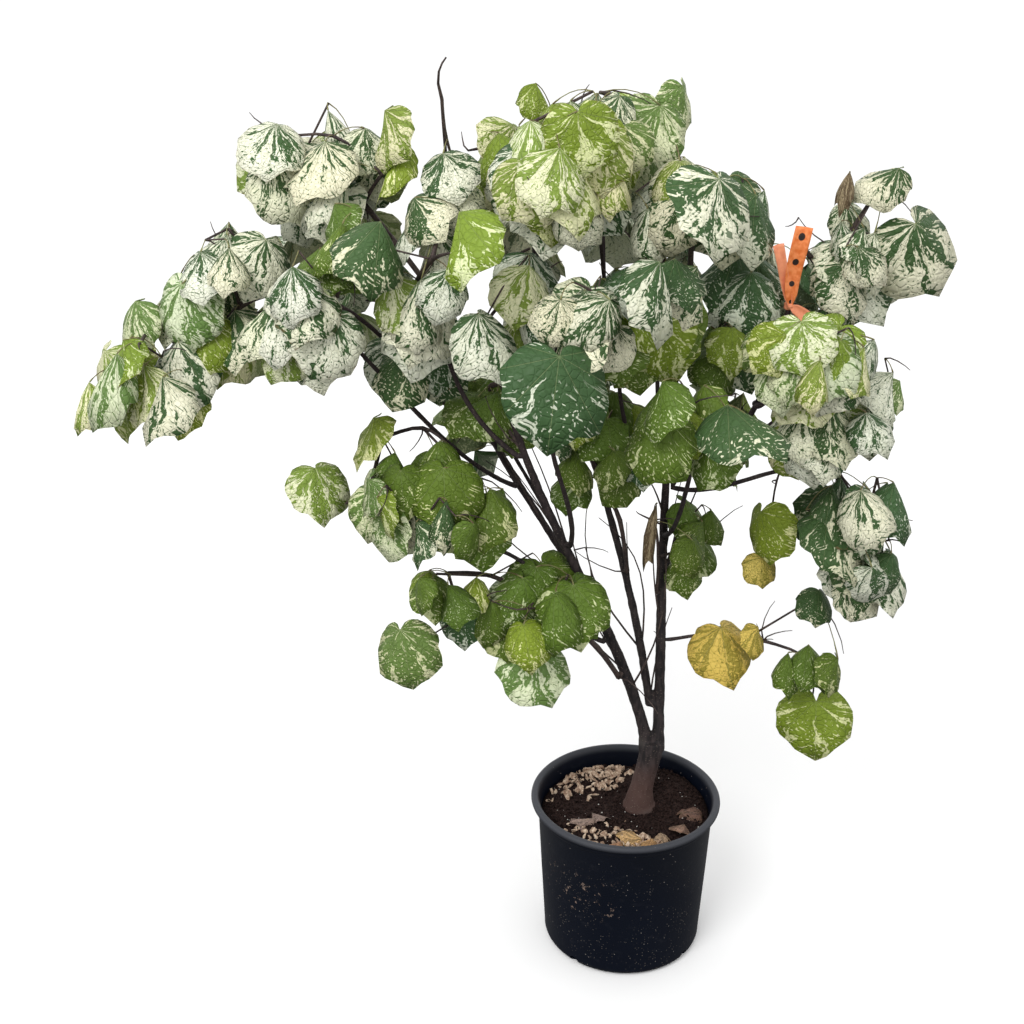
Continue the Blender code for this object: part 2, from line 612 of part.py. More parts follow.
def union(name, pieces, collection, scraps, finish):
    """One Boolean union of closed pieces: the first is the base, the rest are a collection."""
    base = new_object(name, pieces[0], collection, finish)
    helpers = [new_object(f"{name}_{i}", bm, scraps) for i, bm in enumerate(pieces[1:])]
    join = base.modifiers.new("Join", "BOOLEAN")
    join.operation = "UNION"
    join.operand_type = "COLLECTION"
    join.collection = scraps
    join.solver = "MANIFOLD"
    bpy.context.view_layer.update()
    graph = bpy.context.evaluated_depsgraph_get()
    joined = bpy.data.meshes.new_from_object(base.evaluated_get(graph))
    base.modifiers.clear()
    base.data = joined
    for helper in helpers:
        bpy.data.objects.remove(helper)
    bm = bmesh.new()
    bm.from_mesh(joined)
    biggest_island(bm)
    bm.to_mesh(joined)
    bm.free()
    joined.materials.clear()
    joined.materials.append(finish)
    return base


class Space:
    """Shares the crown out. Each seed holds the points that are nearer to it than to any other
    mass's seed, after its weight, so its share is convex and no two masses can meet."""

    def __init__(self):
        self.places, self.weights, self.owners = [], [], []

    def add(self, owner, place, radius):
        self.places.append(tuple(place))
        self.weights.append(radius**2)
        self.owners.append(owner)

    def close(self):
        self.places = np.array(self.places)
        self.weights = np.array(self.weights)
        self.owners = np.array(self.owners)

    def holds(self, points, owner, margin):
        """Whether each point lies in some share of the owner's, clear of its walls by the margin."""
        points = np.array([tuple(p) for p in points])
        power = ((points[:, None, :] - self.places) ** 2).sum(2) - self.weights
        foreign = self.owners != owner
        inside = np.zeros(len(points), bool)
        for own in np.flatnonzero(~foreign):
            apart = np.linalg.norm(self.places[foreign] - self.places[own], axis=1)
            walls = (power[:, foreign] - power[:, [own]]) / (2 * apart)
            inside |= (walls > margin).all(1)
        return bool(inside.all())


def leaf_points(leaf):
    """The middle of a leaf's blade, then its outline's corners, down one side and up the other."""
    corners = [(x, y) for x, y in LEAF_HALF] + [(0.0, 1.0)] + [(-x, y) for x, y in LEAF_HALF[::-1]]
    side = leaf.tip.cross(leaf.normal)
    crown = leaf.place + (leaf.tip * LEAF_MIDDLE + leaf.normal * STALK_DROP) * leaf.length
    points = [crown]
    for x, y in corners:
        up_blade = y - LEAF_MIDDLE
        fall = LEAF_DOME * (x * x + up_blade * up_blade)
        points.append(crown + (side * x + leaf.tip * up_blade - leaf.normal * fall) * leaf.length)
    return points


def leaf_tree(leaf, scale=1.0):
    points = leaf_points(leaf)
    points = [points[0].lerp(corner, scale) for corner in points]
    rim = len(points) - 1
    faces = [(0, i + 1, (i + 1) % rim + 1) for i in range(rim)]
    return BVHTree.FromPolygons(points, faces)


def leaf_solid(leaf):
    """A thin dome: a fan of faces on each side of the outline, thickest in the middle of the blade."""
    bm = bmesh.new()
    crown, *rim = leaf_points(leaf)
    fan = bmesh.ops.create_circle(bm, cap_ends=True, cap_tris=True, segments=len(rim), radius=1.0)
    centre = next(v for v in fan["verts"] if len(v.link_edges) == len(rim))
    ring = [v for v in fan["verts"] if v is not centre]
    ring.sort(key=lambda v: math.atan2(v.co.y, v.co.x))
    for vert, corner in zip(ring, rim):
        vert.co = corner
    centre.co = crown + leaf.normal * LEAF_THICKNESS / 2
    under = bmesh.ops.duplicate(bm, geom=bm.verts[:] + bm.edges[:] + bm.faces[:])
    lower = under["vert_map"][centre]
    lower.co = crown - leaf.normal * LEAF_THICKNESS / 2
    bmesh.ops.remove_doubles(bm, verts=bm.verts, dist=0.000001)
    bmesh.ops.recalc_face_normals(bm, faces=bm.faces)
    return bm


def facing(spray, place, rng):
    """The way a leaf's upper side faces: out from the crown, or the spray's own way, a little astray."""
    if spray.face is OUT:
        out = place - CROWN_AXIS
        out.z = 0.0
        base = direction(out) + UP * FACE_LIFT
    else:
        base = Vector(spray.face)
    turn = Matrix.Rotation(rng.gauss(0, FACE_TURN), 3, "Z")
    normal = turn @ direction(base)
    normal.z += rng.gauss(0, FACE_TILT)
    return direction(normal)


def place_leaves(name, spray, rng, space, obstacles, taken):
    """Leaves at seeded places in the spray, kept apart, in their own space and clear of every limb."""
    leaves = []
    apart = LEAF_APART * spray.size
    for _ in range(LEAF_TRIES * spray.leaves):
        if len(leaves) == spray.leaves:
            break
        apart *= LEAF_CROWDING
        out = direction([rng.gauss(0, 1) for _ in range(3)]) * rng.random() ** (1 / 3)
        middle = Vector(spray.centre) + Vector([o * r for o, r in zip(out, spray.radii)])
        normal = facing(spray, middle, rng)
        down = direction(-UP + normal * UP.dot(normal))
        tip = Matrix.Rotation(rng.gauss(0, TIP_SWAY), 3, normal) @ down
        length = spray.size * rng.uniform(*LEAF_SPREAD)
        leaf = Leaf(middle - tip * LEAF_MIDDLE * length, normal, tip, length, spray.tint)
        if any((middle - other).length < apart for other, _ in taken):
            continue
        if not space.holds(leaf_points(leaf), name, LEAF_MARGIN):
            continue
        blade = leaf_tree(leaf)
        if any(solid.overlap(blade) for solid in obstacles):
            continue
        core = leaf_tree(leaf, LEAF_CORE)
        if any(core.overlap(tree) for _, tree in taken):
            continue
        taken.append((middle, core))
        leaves.append(leaf)
    return leaves


def arched(start, goal, arch):
    """Points along a twig that rises a little between its ends."""
    way = goal - start
    steps = max(1, round(way.length / TWIG_STEP))
    bend = UP * arch * way.length
    shares = [i / steps for i in range(steps + 1)]
    return [start + way * share + bend * 4 * share * (1 - share) for share in shares]


class Twigs:
    """A branching tree of points, each with its parent and the number of leaves it feeds, and the
    stalks of the leaves, each from one of the points."""

    def __init__(self, name, root, heading, space, obstacles):
        self.name, self.space, self.obstacles = name, space, obstacles
        self.blades = []
        self.points = [root, root + heading * COLLAR]
        self.parents = [None, 0]
        self.load = [0, 0]
        self.stalks = []

    def free(self, a, b, shy):
        """Whether a straight twig fits: in its own space, clear of limbs and, if shy, of blades."""
        count = max(2, math.ceil((b - a).length / TWIG_CHECK))
        samples = [a.lerp(b, i / count) for i in range(count + 1)]
        if not self.space.holds(samples[1:], self.name, TWIG_MARGIN):
            return False
        way = b - a
        solids = [self.obstacles] + (self.blades if shy else [])
        return all(tree.ray_cast(a, direction(way), way.length)[0] is None for tree in solids)

    def add(self, point, parent):
        self.points.append(point)
        self.parents.append(parent)
        self.load.append(0)
        return len(self.points) - 1

    def nearest(self, point):
        order = range(1, len(self.points))
        return sorted(order, key=lambda i: (self.points[i] - point).length)

    def lead(self, goal, arch):
        """A twig to the goal, from whichever of the nearest points leaves a free way."""
        near_by = self.nearest(goal)[:TWIG_CHOICES]
        for shy in (True, False):
            for near in near_by:
                path = arched(self.points[near], goal, arch)
                if all(self.free(a, b, shy) for a, b in zip(path, path[1:])):
                    for point in path[1:]:
                        near = self.add(point, near)
                    return near
        return None

    def feed(self, end):
        while end is not None:
            self.load[end] += 1
            end = self.parents[end]

    def hang(self, leaf, shy):
        """A straight stalk that reaches the back of the blade, from a near point that allows it."""
        sunk = leaf.place.lerp(leaf_points(leaf)[0], STALK_SUNK)
        for near in self.nearest(leaf.place)[:TWIG_CHOICES]:
            way = leaf.place - self.points[near]
            if way.length > LONGEST_STALK or direction(way).dot(leaf.normal) < FROM_BEHIND:
                continue
            short = self.points[near] + way * STALK_CHECKED
            if self.free(self.points[near], short, shy):
                self.stalks.append((near, sunk, leaf))
                self.feed(near)
                return True
        return False

    def radius(self, i):
        return TWIG_TIP * max(1, self.load[i]) ** TWIG_GROWTH

    def sleeves(self):
        """A sleeve round every twig there is, for leaves to miss."""
        sleeves = []
        for i in range(1, len(self.points)):
            path = [self.points[self.parents[i]], self.points[i]]
            bm = tube(path, [SLEEVE, SLEEVE], 3)
            sleeves.append(BVHTree.FromBMesh(bm))
            bm.free()
        return sleeves

    def heading(self, i):
        return direction(self.points[i] - self.points[self.parents[i]])

    def chains(self):
        """Runs of points, each along the most laden way from where it starts, with no sharp bend."""
        children = {i: [] for i in range(len(self.points))}
        for i, parent in enumerate(self.parents):
            if parent is not None:
                children[parent].append(i)
        starts, chains = [(1, 0)], []
        while starts:
            at, base = starts.pop(0)
            chain = [base, at]
            while at is not None:
                on = None
                for child in sorted(children[at], key=lambda i: -self.load[i]):
                    if on is None and self.heading(child).dot(self.heading(at)) > SHARP_BEND:
                        on = child
                        chain.append(child)
                    else:
                        starts.append((child, at))
                at = on
            chains.append(chain)
        return chains


def grow(name, routes, space, obstacles):
    """One mass: its twigs, and the leaves that hang from them."""
    limb, share, seed, sprays = MASSES[name]
    rng = random.Random(seed)
    root, heading = stem_start(routes[limb], share, sprays)
    twigs = Twigs(name, root, heading, space, obstacles)
    hubs = [twigs.lead(hub_of(spray), TWIG_ARCH) for spray in sprays]
    solids = [obstacles, *twigs.sleeves()]
    taken = []
    for spray, hub in sorted(zip(sprays, hubs), key=lambda pair: pair[0].leaves):
        if hub is None:
            continue
        if spray.leaves == 0:
            twigs.feed(hub)
        placed = place_leaves(name, spray, rng, space, solids, taken)
        twigs.blades = [tree for _, tree in taken]
        placed.sort(key=lambda leaf: (leaf.place - twigs.points[hub]).length)
        for leaf in placed:
            if twigs.hang(leaf, True):
                continue
            stalk = STALK * leaf.length * rng.uniform(0.8, 1.2)
            back = UP * STALK_UP - leaf.normal * STALK_BACK - leaf.tip * STALK_OVER
            base = leaf.place + back * stalk
            if twigs.lead(base, TWIG_ARCH * 0.5) is None or not twigs.hang(leaf, True):
                twigs.hang(leaf, False)
    return twigs


def hub_of(spray):
    """Where a spray's twigs spread from: behind its leaves."""
    centre = Vector(spray.centre)
    return centre - direction(spray.face) * HUB_BACK if spray.face and spray.leaves else centre


def stem_start(route, share, sprays):
    """Where a mass's stem begins: on from the limb's tip, or straight out of its side."""
    if share == 1:
        (before, _), (tip, _) = route[-2:]
        heading = direction(tip - before)
        return tip + heading * GAP, heading
    return side_start(route, share, Vector(sprays[0].centre) - route[-1][0].lerp(route[0][0], 1 - share))


def mass_pieces(twigs, limb_radius):
    """The closed solids of a mass: a thin tube along each run of twigs, the stalks and the leaves."""
    pieces = []
    for number, chain in enumerate(twigs.chains()):
        path = [twigs.points[i] for i in chain]
        radii = [twigs.radius(i) for i in chain]
        if chain[0] == 0:
            radii[0] = radii[1] = min(radii[1], limb_radius)
        else:
            radii[0] = min(SIDE_TWIG * radii[0], radii[1])
        pieces.append(tube(path, radii, 3, turn=number * 0.7))
    for number, (foot, end, leaf) in enumerate(twigs.stalks):
        path = [twigs.points[foot], end]
        pieces.append(tube(path, STALK_RADII, 3, turn=number * 0.7))
        pieces.append(leaf_solid(leaf))
    return pieces


def make_masses(routes, extra, collection, scraps):
    space = Space()
    for name, (limb, share, _, sprays) in MASSES.items():
        root, heading = stem_start(routes[limb], share, sprays)
        reached = [root + heading * COLLAR]
        for spray in sprays:
            space.add(name, spray.centre, sum(spray.radii) / 3 + SPRAY_SHARE)
            hub = hub_of(spray)
            start = min(reached, key=lambda point: (point - hub).length)
            way = arched(start, hub, TWIG_ARCH)
            reached += way[1:]
            for point in way:
                space.add(name, point, TWIG_SHARE)
    for step in range(TAPE_GAP_STEPS):
        space.add("marker_tape", TAPE_MIDDLE + TAPE_OPENING * TAPE_GAP_STEP * (step + 0.5), TAPE_GAP)
    space.close()
    obstacles = clearance_tree(routes, extra)
    finishes = {
        tint: material(f"{tint} leaves", colour, 0.6) for tint, colour in TINT_COLOURS.items()
    }
    for name, (limb, _, _, sprays) in MASSES.items():
        twigs = grow(name, routes, space, obstacles)
        pieces = mass_pieces(twigs, routes[limb][-1][1])
        union(name, pieces, collection, scraps, finishes[sprays[0].tint])


def clearance_tree(routes, extra):
    """Every limb a little thicker than it is, and the other solids, for leaves and twigs to miss."""
    points, faces = [], []
    solids = [
        tube([p for p, _ in route], [r + LIMB_CLEARANCE for _, r in route], 6)
        for route in routes.values()
    ]
    graph = bpy.context.evaluated_depsgraph_get()
    for thing in extra:
        bm = bmesh.new()
        bm.from_object(thing, graph)
        bm.normal_update()
        for vert in bm.verts:
            vert.co += vert.normal * LIMB_CLEARANCE
        solids.append(bm)
    for bm in solids:
        base = len(points)
        bm.verts.ensure_lookup_table()
        points += [v.co.copy() for v in bm.verts]
        faces += [[base + v.index for v in face.verts] for face in bm.faces]
        bm.free()
    return BVHTree.FromPolygons(points, faces)


def main():
    clear_scene()
    collection = bpy.data.collections.new("potted redbud")
    cutters = bpy.data.collections.new("cutters")
    scraps = bpy.data.collections.new("pieces to join")
    for home in (collection, cutters, scraps):
        bpy.context.scene.collection.children.link(home)
    make_pot(collection, cutters)
    make_soil(collection)
    bark = material("bark", (0.045, 0.03, 0.028), 0.8)
    routes = {"trunk": trunk_route()}
    for name, limb in LIMBS.items():
        routes[name] = limb_route(limb, routes)
    for name, route in routes.items():
        sides = {"trunk": 10, "left_stem": 8, "right_stem": 8}.get(name, 6)
        limb_object(name, route, sides, collection, bark)
    tape = make_tape(routes, collection, scraps)
    bpy.context.view_layer.update()
    make_masses(routes, [tape], collection, scraps)
    bpy.data.collections.remove(scraps)


if __name__ == "__main__":
    main()
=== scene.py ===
# %% [markdown]
# # A variegated redbud in its nursery pot
# A young tree of about 1.3 m: a short trunk, two dark stems, boughs that arch out of them, and
# heart-shaped leaves of white, cream and green that hang from long stalks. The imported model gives
# the size of everything, and this script gives its surfaces. Lengths are in metres, +Z is up and
# -Y is the front.

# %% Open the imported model
import json
import math
import random
from collections import namedtuple
from statistics import NormalDist

import bmesh
import bpy
import numpy as np
from mathutils import Matrix, Vector, noise
from mathutils.bvhtree import BVHTree

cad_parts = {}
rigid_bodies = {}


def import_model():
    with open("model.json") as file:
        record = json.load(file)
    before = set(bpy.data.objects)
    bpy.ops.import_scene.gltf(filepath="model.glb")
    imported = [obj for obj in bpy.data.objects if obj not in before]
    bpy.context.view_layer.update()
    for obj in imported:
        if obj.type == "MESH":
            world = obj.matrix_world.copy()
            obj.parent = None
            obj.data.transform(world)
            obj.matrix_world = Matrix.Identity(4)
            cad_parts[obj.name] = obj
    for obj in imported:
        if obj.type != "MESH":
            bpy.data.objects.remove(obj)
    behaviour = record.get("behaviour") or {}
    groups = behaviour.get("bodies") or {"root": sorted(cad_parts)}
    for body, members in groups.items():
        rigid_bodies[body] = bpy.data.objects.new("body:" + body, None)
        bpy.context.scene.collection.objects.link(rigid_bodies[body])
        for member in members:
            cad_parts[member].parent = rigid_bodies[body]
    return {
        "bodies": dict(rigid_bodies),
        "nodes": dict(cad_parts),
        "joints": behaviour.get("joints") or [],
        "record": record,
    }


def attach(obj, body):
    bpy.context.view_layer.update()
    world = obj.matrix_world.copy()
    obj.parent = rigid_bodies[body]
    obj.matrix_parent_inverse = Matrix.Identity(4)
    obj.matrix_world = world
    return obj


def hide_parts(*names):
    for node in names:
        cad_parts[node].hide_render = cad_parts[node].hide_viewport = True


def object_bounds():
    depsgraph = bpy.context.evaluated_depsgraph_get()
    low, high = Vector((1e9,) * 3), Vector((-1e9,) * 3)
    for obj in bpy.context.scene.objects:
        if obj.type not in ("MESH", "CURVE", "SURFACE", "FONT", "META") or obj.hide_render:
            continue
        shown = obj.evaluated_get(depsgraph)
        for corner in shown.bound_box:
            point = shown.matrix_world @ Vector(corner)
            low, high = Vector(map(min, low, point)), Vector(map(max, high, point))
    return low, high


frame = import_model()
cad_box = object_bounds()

NODES = frame["nodes"]
UP = Vector((0.0, 0.0, 1.0))
print(len(NODES), "packed nodes, box", [[round(v, 3) for v in corner] for corner in cad_box])

# %% [markdown]
# ## Camera
# The pot is seen from above: its rim is an ellipse and its base is narrower than its top. The
# height of that ellipse against its width gives the downward tilt, and the plant's width in the
# frame gives the lens. A level camera with a shift would draw the pot's sides parallel, so the
# camera itself is tilted.

# %% Set up the camera
CAMERA_PLACE = (-0.171, -1.85, 1.48)
CAMERA_TILT = 22.75
LENS = 50.9

lens = bpy.data.cameras.new("camera")
lens.sensor_width = 36.0
lens.lens = LENS
lens.clip_end = 100.0
camera = bpy.data.objects.new("camera", lens)
camera.location = CAMERA_PLACE
camera.rotation_euler = (math.radians(90.0 - CAMERA_TILT), 0.0, 0.0)
bpy.context.scene.collection.objects.link(camera)
bpy.context.scene.camera = camera

# %% [markdown]
# ## Finishes
# A pattern such as leaf variegation is a sum of noises, so its nodes are easiest to read as a
# sum. The class below wraps a socket: adding or multiplying two of them adds a Math node. A
# second class holds one material and adds any other node with its settings and its inputs.


# %% Write shader maths as Python
class Shade:
    """A socket of a material that can be used in sums."""

    def __init__(self, finish, socket):
        self.finish, self.socket = finish, socket

    def __add__(self, other):
        return self.finish.maths("ADD", self, other)

    def __sub__(self, other):
        return self.finish.maths("SUBTRACT", self, other)

    def __rsub__(self, other):
        return self.finish.maths("SUBTRACT", other, self)

    def __mul__(self, other):
        return self.finish.maths("MULTIPLY", self, other)

    def __truediv__(self, other):
        return self.finish.maths("DIVIDE", self, other)

    def __pow__(self, other):
        return self.finish.maths("POWER", self, other)

    __radd__, __rmul__ = __add__, __mul__


class Board:
    """A node tree to which nodes are added by kind."""

    def __init__(self, tree):
        self.tree = tree

    def feed(self, socket, value):
        if isinstance(value, Shade):
            self.tree.links.new(value.socket, socket)
        elif socket.type == "RGBA" and len(value) == 3:
            socket.default_value = (*value, 1.0)
        else:
            socket.default_value = value

    def node(self, kind, settings=None, inputs=None, output=0):
        """Adds a node: its settings, then the values or links of its sockets."""
        made = self.tree.nodes.new(kind)
        for name, value in (settings or {}).items():
            setattr(made, name, value)
        for name, value in (inputs or {}).items():
            self.feed(made.inputs[name], value)
        return Shade(self, made.outputs[output])

    def maths(self, operation, *values, clamp=False):
        settings = {"operation": operation, "use_clamp": clamp}
        return self.node("ShaderNodeMath", settings, dict(enumerate(values)))

    def step(self, value, low, high):
        """0 below low and 1 above high, with a soft edge between them."""
        return self.node(
            "ShaderNodeMapRange",
            {"interpolation_type": "SMOOTHSTEP"},
            {"Value": value, "From Min": low, "From Max": high},
        )

    def blend(self, factor, first, second, kind="MIX"):
        """One colour into another. The sockets of colours are 6 and 7 on this node, its result 2."""
        settings = {"data_type": "RGBA", "blend_type": kind}
        return self.node("ShaderNodeMix", settings, {0: factor, 6: first, 7: second}, 2)

    def noise(self, place, scale, detail=2.0, roughness=0.5):
        inputs = {"Vector": place, "Scale": scale, "Detail": detail, "Roughness": roughness}
        return self.node("ShaderNodeTexNoise", None, inputs)

    def cells(self, place, scale, feature="F1", output=0):
        """The distance to the nearest of many scattered points, or that point's own colour."""
        return self.node(
            "ShaderNodeTexVoronoi", {"feature": feature}, {"Vector": place, "Scale": scale}, output
        )

    def place(self):
        return self.node("ShaderNodeTexCoord", output=3)

    def attribute(self, name, output="Vector"):
        return self.node("ShaderNodeAttribute", {"attribute_name": name}, output=output)

    def parts(self, vector):
        split = self.node("ShaderNodeSeparateXYZ", None, {0: vector})
        return [Shade(self, socket) for socket in split.socket.node.outputs]

    def vector(self, x, y, z):
        return self.node("ShaderNodeCombineXYZ", None, {0: x, 1: y, 2: z})


class Finish(Board):
    """A material with one shader. The gloss is the same all over, so it is set on its socket."""

    def __init__(self, name, colour, gloss=0.5):
        self.material = bpy.data.materials.new(name)
        self.material.use_nodes = True
        self.material.diffuse_color = (*colour, 1.0)
        super().__init__(self.material.node_tree)
        self.shader = self.tree.nodes["Principled BSDF"]
        self.shader.inputs["Specular IOR Level"].default_value = gloss

    def surface(self, colour, roughness, height=None, relief=0.001):
        """Connects what varies over the surface. Height bumps it by at most the relief in metres."""
        self.feed(self.shader.inputs["Base Color"], colour)
        self.feed(self.shader.inputs["Roughness"], roughness)
        if height is not None:
            bump = self.node("ShaderNodeBump", None, {"Distance": relief, "Height": height})
            self.feed(self.shader.inputs["Normal"], bump)
        return self.material


# %% [markdown]
# ## Floor and light
# The background is plain and pale. One large disc is the floor, so that it is there in every
# view. The light is a bright overcast sky, white down to the horizon, with one wide soft lamp
# above the front left. A white floor throws so much light back that the leaves lose their
# shading, so bounced rays pass through the floor to a dark ground below it.

# %% Lay the floor and hang the lamp
FLOOR_RADIUS = 30.0
SKY_AT_HORIZON = 1.16
SKY_OVERHEAD = 1.12
GROUND_LIGHT = 0.28
LAMP_PLACE = Vector((-1.6, -2.6, 3.6))
LAMP_AIM = Vector((-0.1, 0.0, 0.8))
LAMP_SIZE = 1.8
LAMP_POWER = 88.0


def new_object(name, bm, finish=None):
    """Makes an object of a bmesh, at the origin."""
    mesh = bpy.data.meshes.new(name)
    bm.to_mesh(mesh)
    bm.free()
    if finish:
        mesh.materials.append(finish)
    thing = bpy.data.objects.new(name, mesh)
    bpy.context.scene.collection.objects.link(thing)
    return thing


paper = Finish("floor paper", (0.9, 0.9, 0.9), 0.0)
grain = paper.noise(paper.place(), 3.0)
floor_colour = paper.blend(grain, (0.92, 0.92, 0.92), (0.94, 0.94, 0.94))
bm = bmesh.new()
bmesh.ops.create_circle(bm, cap_ends=True, segments=64, radius=FLOOR_RADIUS)
floor = new_object("floor", bm, paper.surface(floor_colour, 0.9))
floor.visible_diffuse = False
floor.visible_glossy = False

world = bpy.data.worlds.new("sky")
world.use_nodes = True
sky = Board(world.node_tree)
height = sky.parts(sky.node("ShaderNodeTexCoord", output=0))[2]
above = sky.step(height, -0.115, -0.095)
light = above * (SKY_AT_HORIZON + sky.step(height, 0.0, 1.0) * (SKY_OVERHEAD - SKY_AT_HORIZON))
background = world.node_tree.nodes["Background"]
background.inputs["Color"].default_value = (1.0, 1.0, 1.0, 1.0)
sky.feed(background.inputs["Strength"], light + (1 - above) * GROUND_LIGHT)
bpy.context.scene.world = world

lamp = bpy.data.lights.new("soft lamp", "AREA")
lamp.size = LAMP_SIZE
lamp.energy = LAMP_POWER
holder = bpy.data.objects.new("soft lamp", lamp)
holder.location = LAMP_PLACE
holder.rotation_euler = (LAMP_AIM - LAMP_PLACE).to_track_quat("-Z", "Y").to_euler()
bpy.context.scene.collection.objects.link(holder)
bpy.context.scene.view_settings.view_transform = "Standard"

# %% [markdown]
# ## The plan of the tree
# The limbs come first: each leaves its parent at some share of the parent's length, heads one
# way, and arrives at its tip another way. The foliage is a plan of sprays: where each cluster of
# leaves is, how many it has, how long they are, where they face and their tint. The plan is the
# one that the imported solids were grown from, so the leaves hang in the same places.

# %% Plan the limbs
GAP = 0.0003
SOIL_TOP = 0.222
TRUNK_FOOT = Vector((0.022, 0.003, SOIL_TOP + GAP))
TRUNK_TOP = Vector((0.037, 0.006, 0.334))
TRUNK_FOOT_RADIUS = 0.026
TRUNK_RADIUS = 0.0165
TRUNK_TOP_RADIUS = 0.0185
LEVEL_END = 0.06
STEM_SPACING = 0.0092
CURVE_HANDLE = 0.36
COLLAR = 0.006
LIMB_STEP = 0.085

# Radii of a limb at its foot and at its tip
LEFT_STEM = (0.0088, 0.0045)
RIGHT_STEM = (0.0085, 0.0036)
STRONG = (0.0065, 0.0040)
MIDDLING = (0.0045, 0.0030)
SLIM = (0.0035, 0.0026)

Limb = namedtuple("Limb", "parent along tip leave arrive radii")
LIMBS = {
    "left_stem": Limb(
        "trunk", 1, (-0.178, -0.09, 0.90), (-0.25, -0.05, 1), (-0.25, -0.1, 1), LEFT_STEM),
    "right_stem": Limb(
        "trunk", 1, (0.058, -0.02, 1.01), (0, 0.08, 1), (0.1, -0.35, 1), RIGHT_STEM),
    "left_outer_bough": Limb(
        "left_stem", 0.13, (-0.262, 0.07, 0.97), (-0.25, 0.5, 0.85), (-0.2, 0, 1), STRONG),
    "centre_bough": Limb(
        "right_stem", 0.18, (-0.115, 0.08, 0.93), (-0.15, 0.1, 1), (-0.35, 0.1, 1), STRONG),
    "right_bough": Limb(
        "right_stem", 0.64, (0.196, 0.005, 1.075), (0.9, -0.3, 0.5), (0, 0, 1), MIDDLING),
    "far_left_bough": Limb(
        "left_outer_bough", 0.78, (-0.46, 0.02, 1.01), (-0.8, 0, 0.5), (-1, 0, 0.1), SLIM),
    "left_front_bough": Limb(
        "left_outer_bough", 0.66, (-0.40, -0.085, 1.0), (-0.6, -0.7, 0.5), (-0.5, -0.4, 0.7), SLIM),
    "left_mid_bough": Limb(
        "left_stem", 0.88, (-0.262, -0.07, 1.02), (-0.9, 0.2, 0.6), (0, -0.1, 1), SLIM),
    "front_bough": Limb(
        "left_stem", 0.66, (-0.125, -0.19, 0.93), (0.1, -0.6, 0.8), (0.1, -0.4, 1), SLIM),
    "top_bough": Limb(
        "centre_bough", 0.90, (-0.055, 0.03, 1.13), (0.8, -0.2, 0.6), (0.1, 0, 1), SLIM),
    "middle_bough": Limb(
        "centre_bough", 0.62, (-0.03, -0.03, 0.91), (0.7, -0.5, 0.6), (0, -0.3, 1), SLIM),
    "flat_right_bough": Limb(
        "right_stem", 0.53, (0.065, -0.12, 0.86), (0.1, -0.9, 0.4), (0, -0.5, 0.7), SLIM),
    "right_shelf_bough": Limb(
        "right_bough", 0.55, (0.205, -0.07, 0.965), (0.3, -0.9, 0.3), (0.2, -0.8, 0.5), SLIM),
    "right_lower_bough": Limb(
        "right_bough", 0.30, (0.215, -0.03, 0.86), (0.8, -0.5, 0.2), (0.9, -0.3, 0.1), SLIM),
    "right_hang_bough": Limb(
        "right_bough", 0.16, (0.262, -0.03, 0.775), (0.8, -0.3, -0.1), (0.9, -0.1, -0.3), SLIM),
    "low_left_bough": Limb(
        "left_stem", 0.40, (-0.195, -0.07, 0.68), (-0.7, -0.6, 0.5), (-1, 0, 0.3), SLIM),
    "back_left_bough": Limb(
        "left_outer_bough", 0.60, (-0.355, 0.19, 0.95), (-0.5, 0.8, 0.4), (-0.8, 0.4, 0.4), SLIM),
    "back_low_left_bough": Limb(
        "left_outer_bough", 0.38, (-0.17, 0.19, 0.72), (-0.2, 0.9, 0.2), (-0.4, 0.8, 0.4), SLIM),
    "back_centre_bough": Limb(
        "centre_bough", 0.70, (-0.185, 0.21, 1.00), (-0.2, 0.9, 0.5), (-0.1, 0.5, 0.9), SLIM),
    "back_top_bough": Limb(
        "centre_bough", 0.84, (-0.045, 0.15, 1.08), (0.5, 0.7, 0.6), (0, 0.2, 1), SLIM),
    "back_mid_bough": Limb(
        "right_stem", 0.70, (0.045, 0.21, 0.97), (-0.2, 0.9, 0.5), (0, 0.5, 0.9), SLIM),
    "back_right_bough": Limb(
        "right_bough", 0.24, (0.175, 0.15, 0.90), (0.3, 0.9, 0.3), (0.4, 0.7, 0.5), SLIM),
    "back_low_right_bough": Limb(
        "right_stem", 0.44, (0.115, 0.16, 0.74), (0.4, 0.9, 0.3), (0.6, 0.6, 0.5), SLIM),
}


def direction(vector):
    return Vector(vector).normalized()


def bezier(start, leave, arrive, end, share):
    rest = 1 - share
    return (
        start * rest**3
        + leave * (3 * share * rest**2)
        + arrive * (3 * share**2 * rest)
        + end * share**3
    )


def side_start(route, share, leave):
    """Where a limb leaves the side of another: just off its bark, and the way straight out."""
    place = share * (len(route) - 1)
    low = min(int(place), len(route) - 2)
    (a, thick_a), (b, thick_b) = route[low], route[low + 1]
    centre = a.lerp(b, place - low)
    thick = thick_a + (thick_b - thick_a) * (place - low)
    along = direction(b - a)
    out = direction(leave - along * leave.dot(along))
    return centre + out * (thick + GAP), out


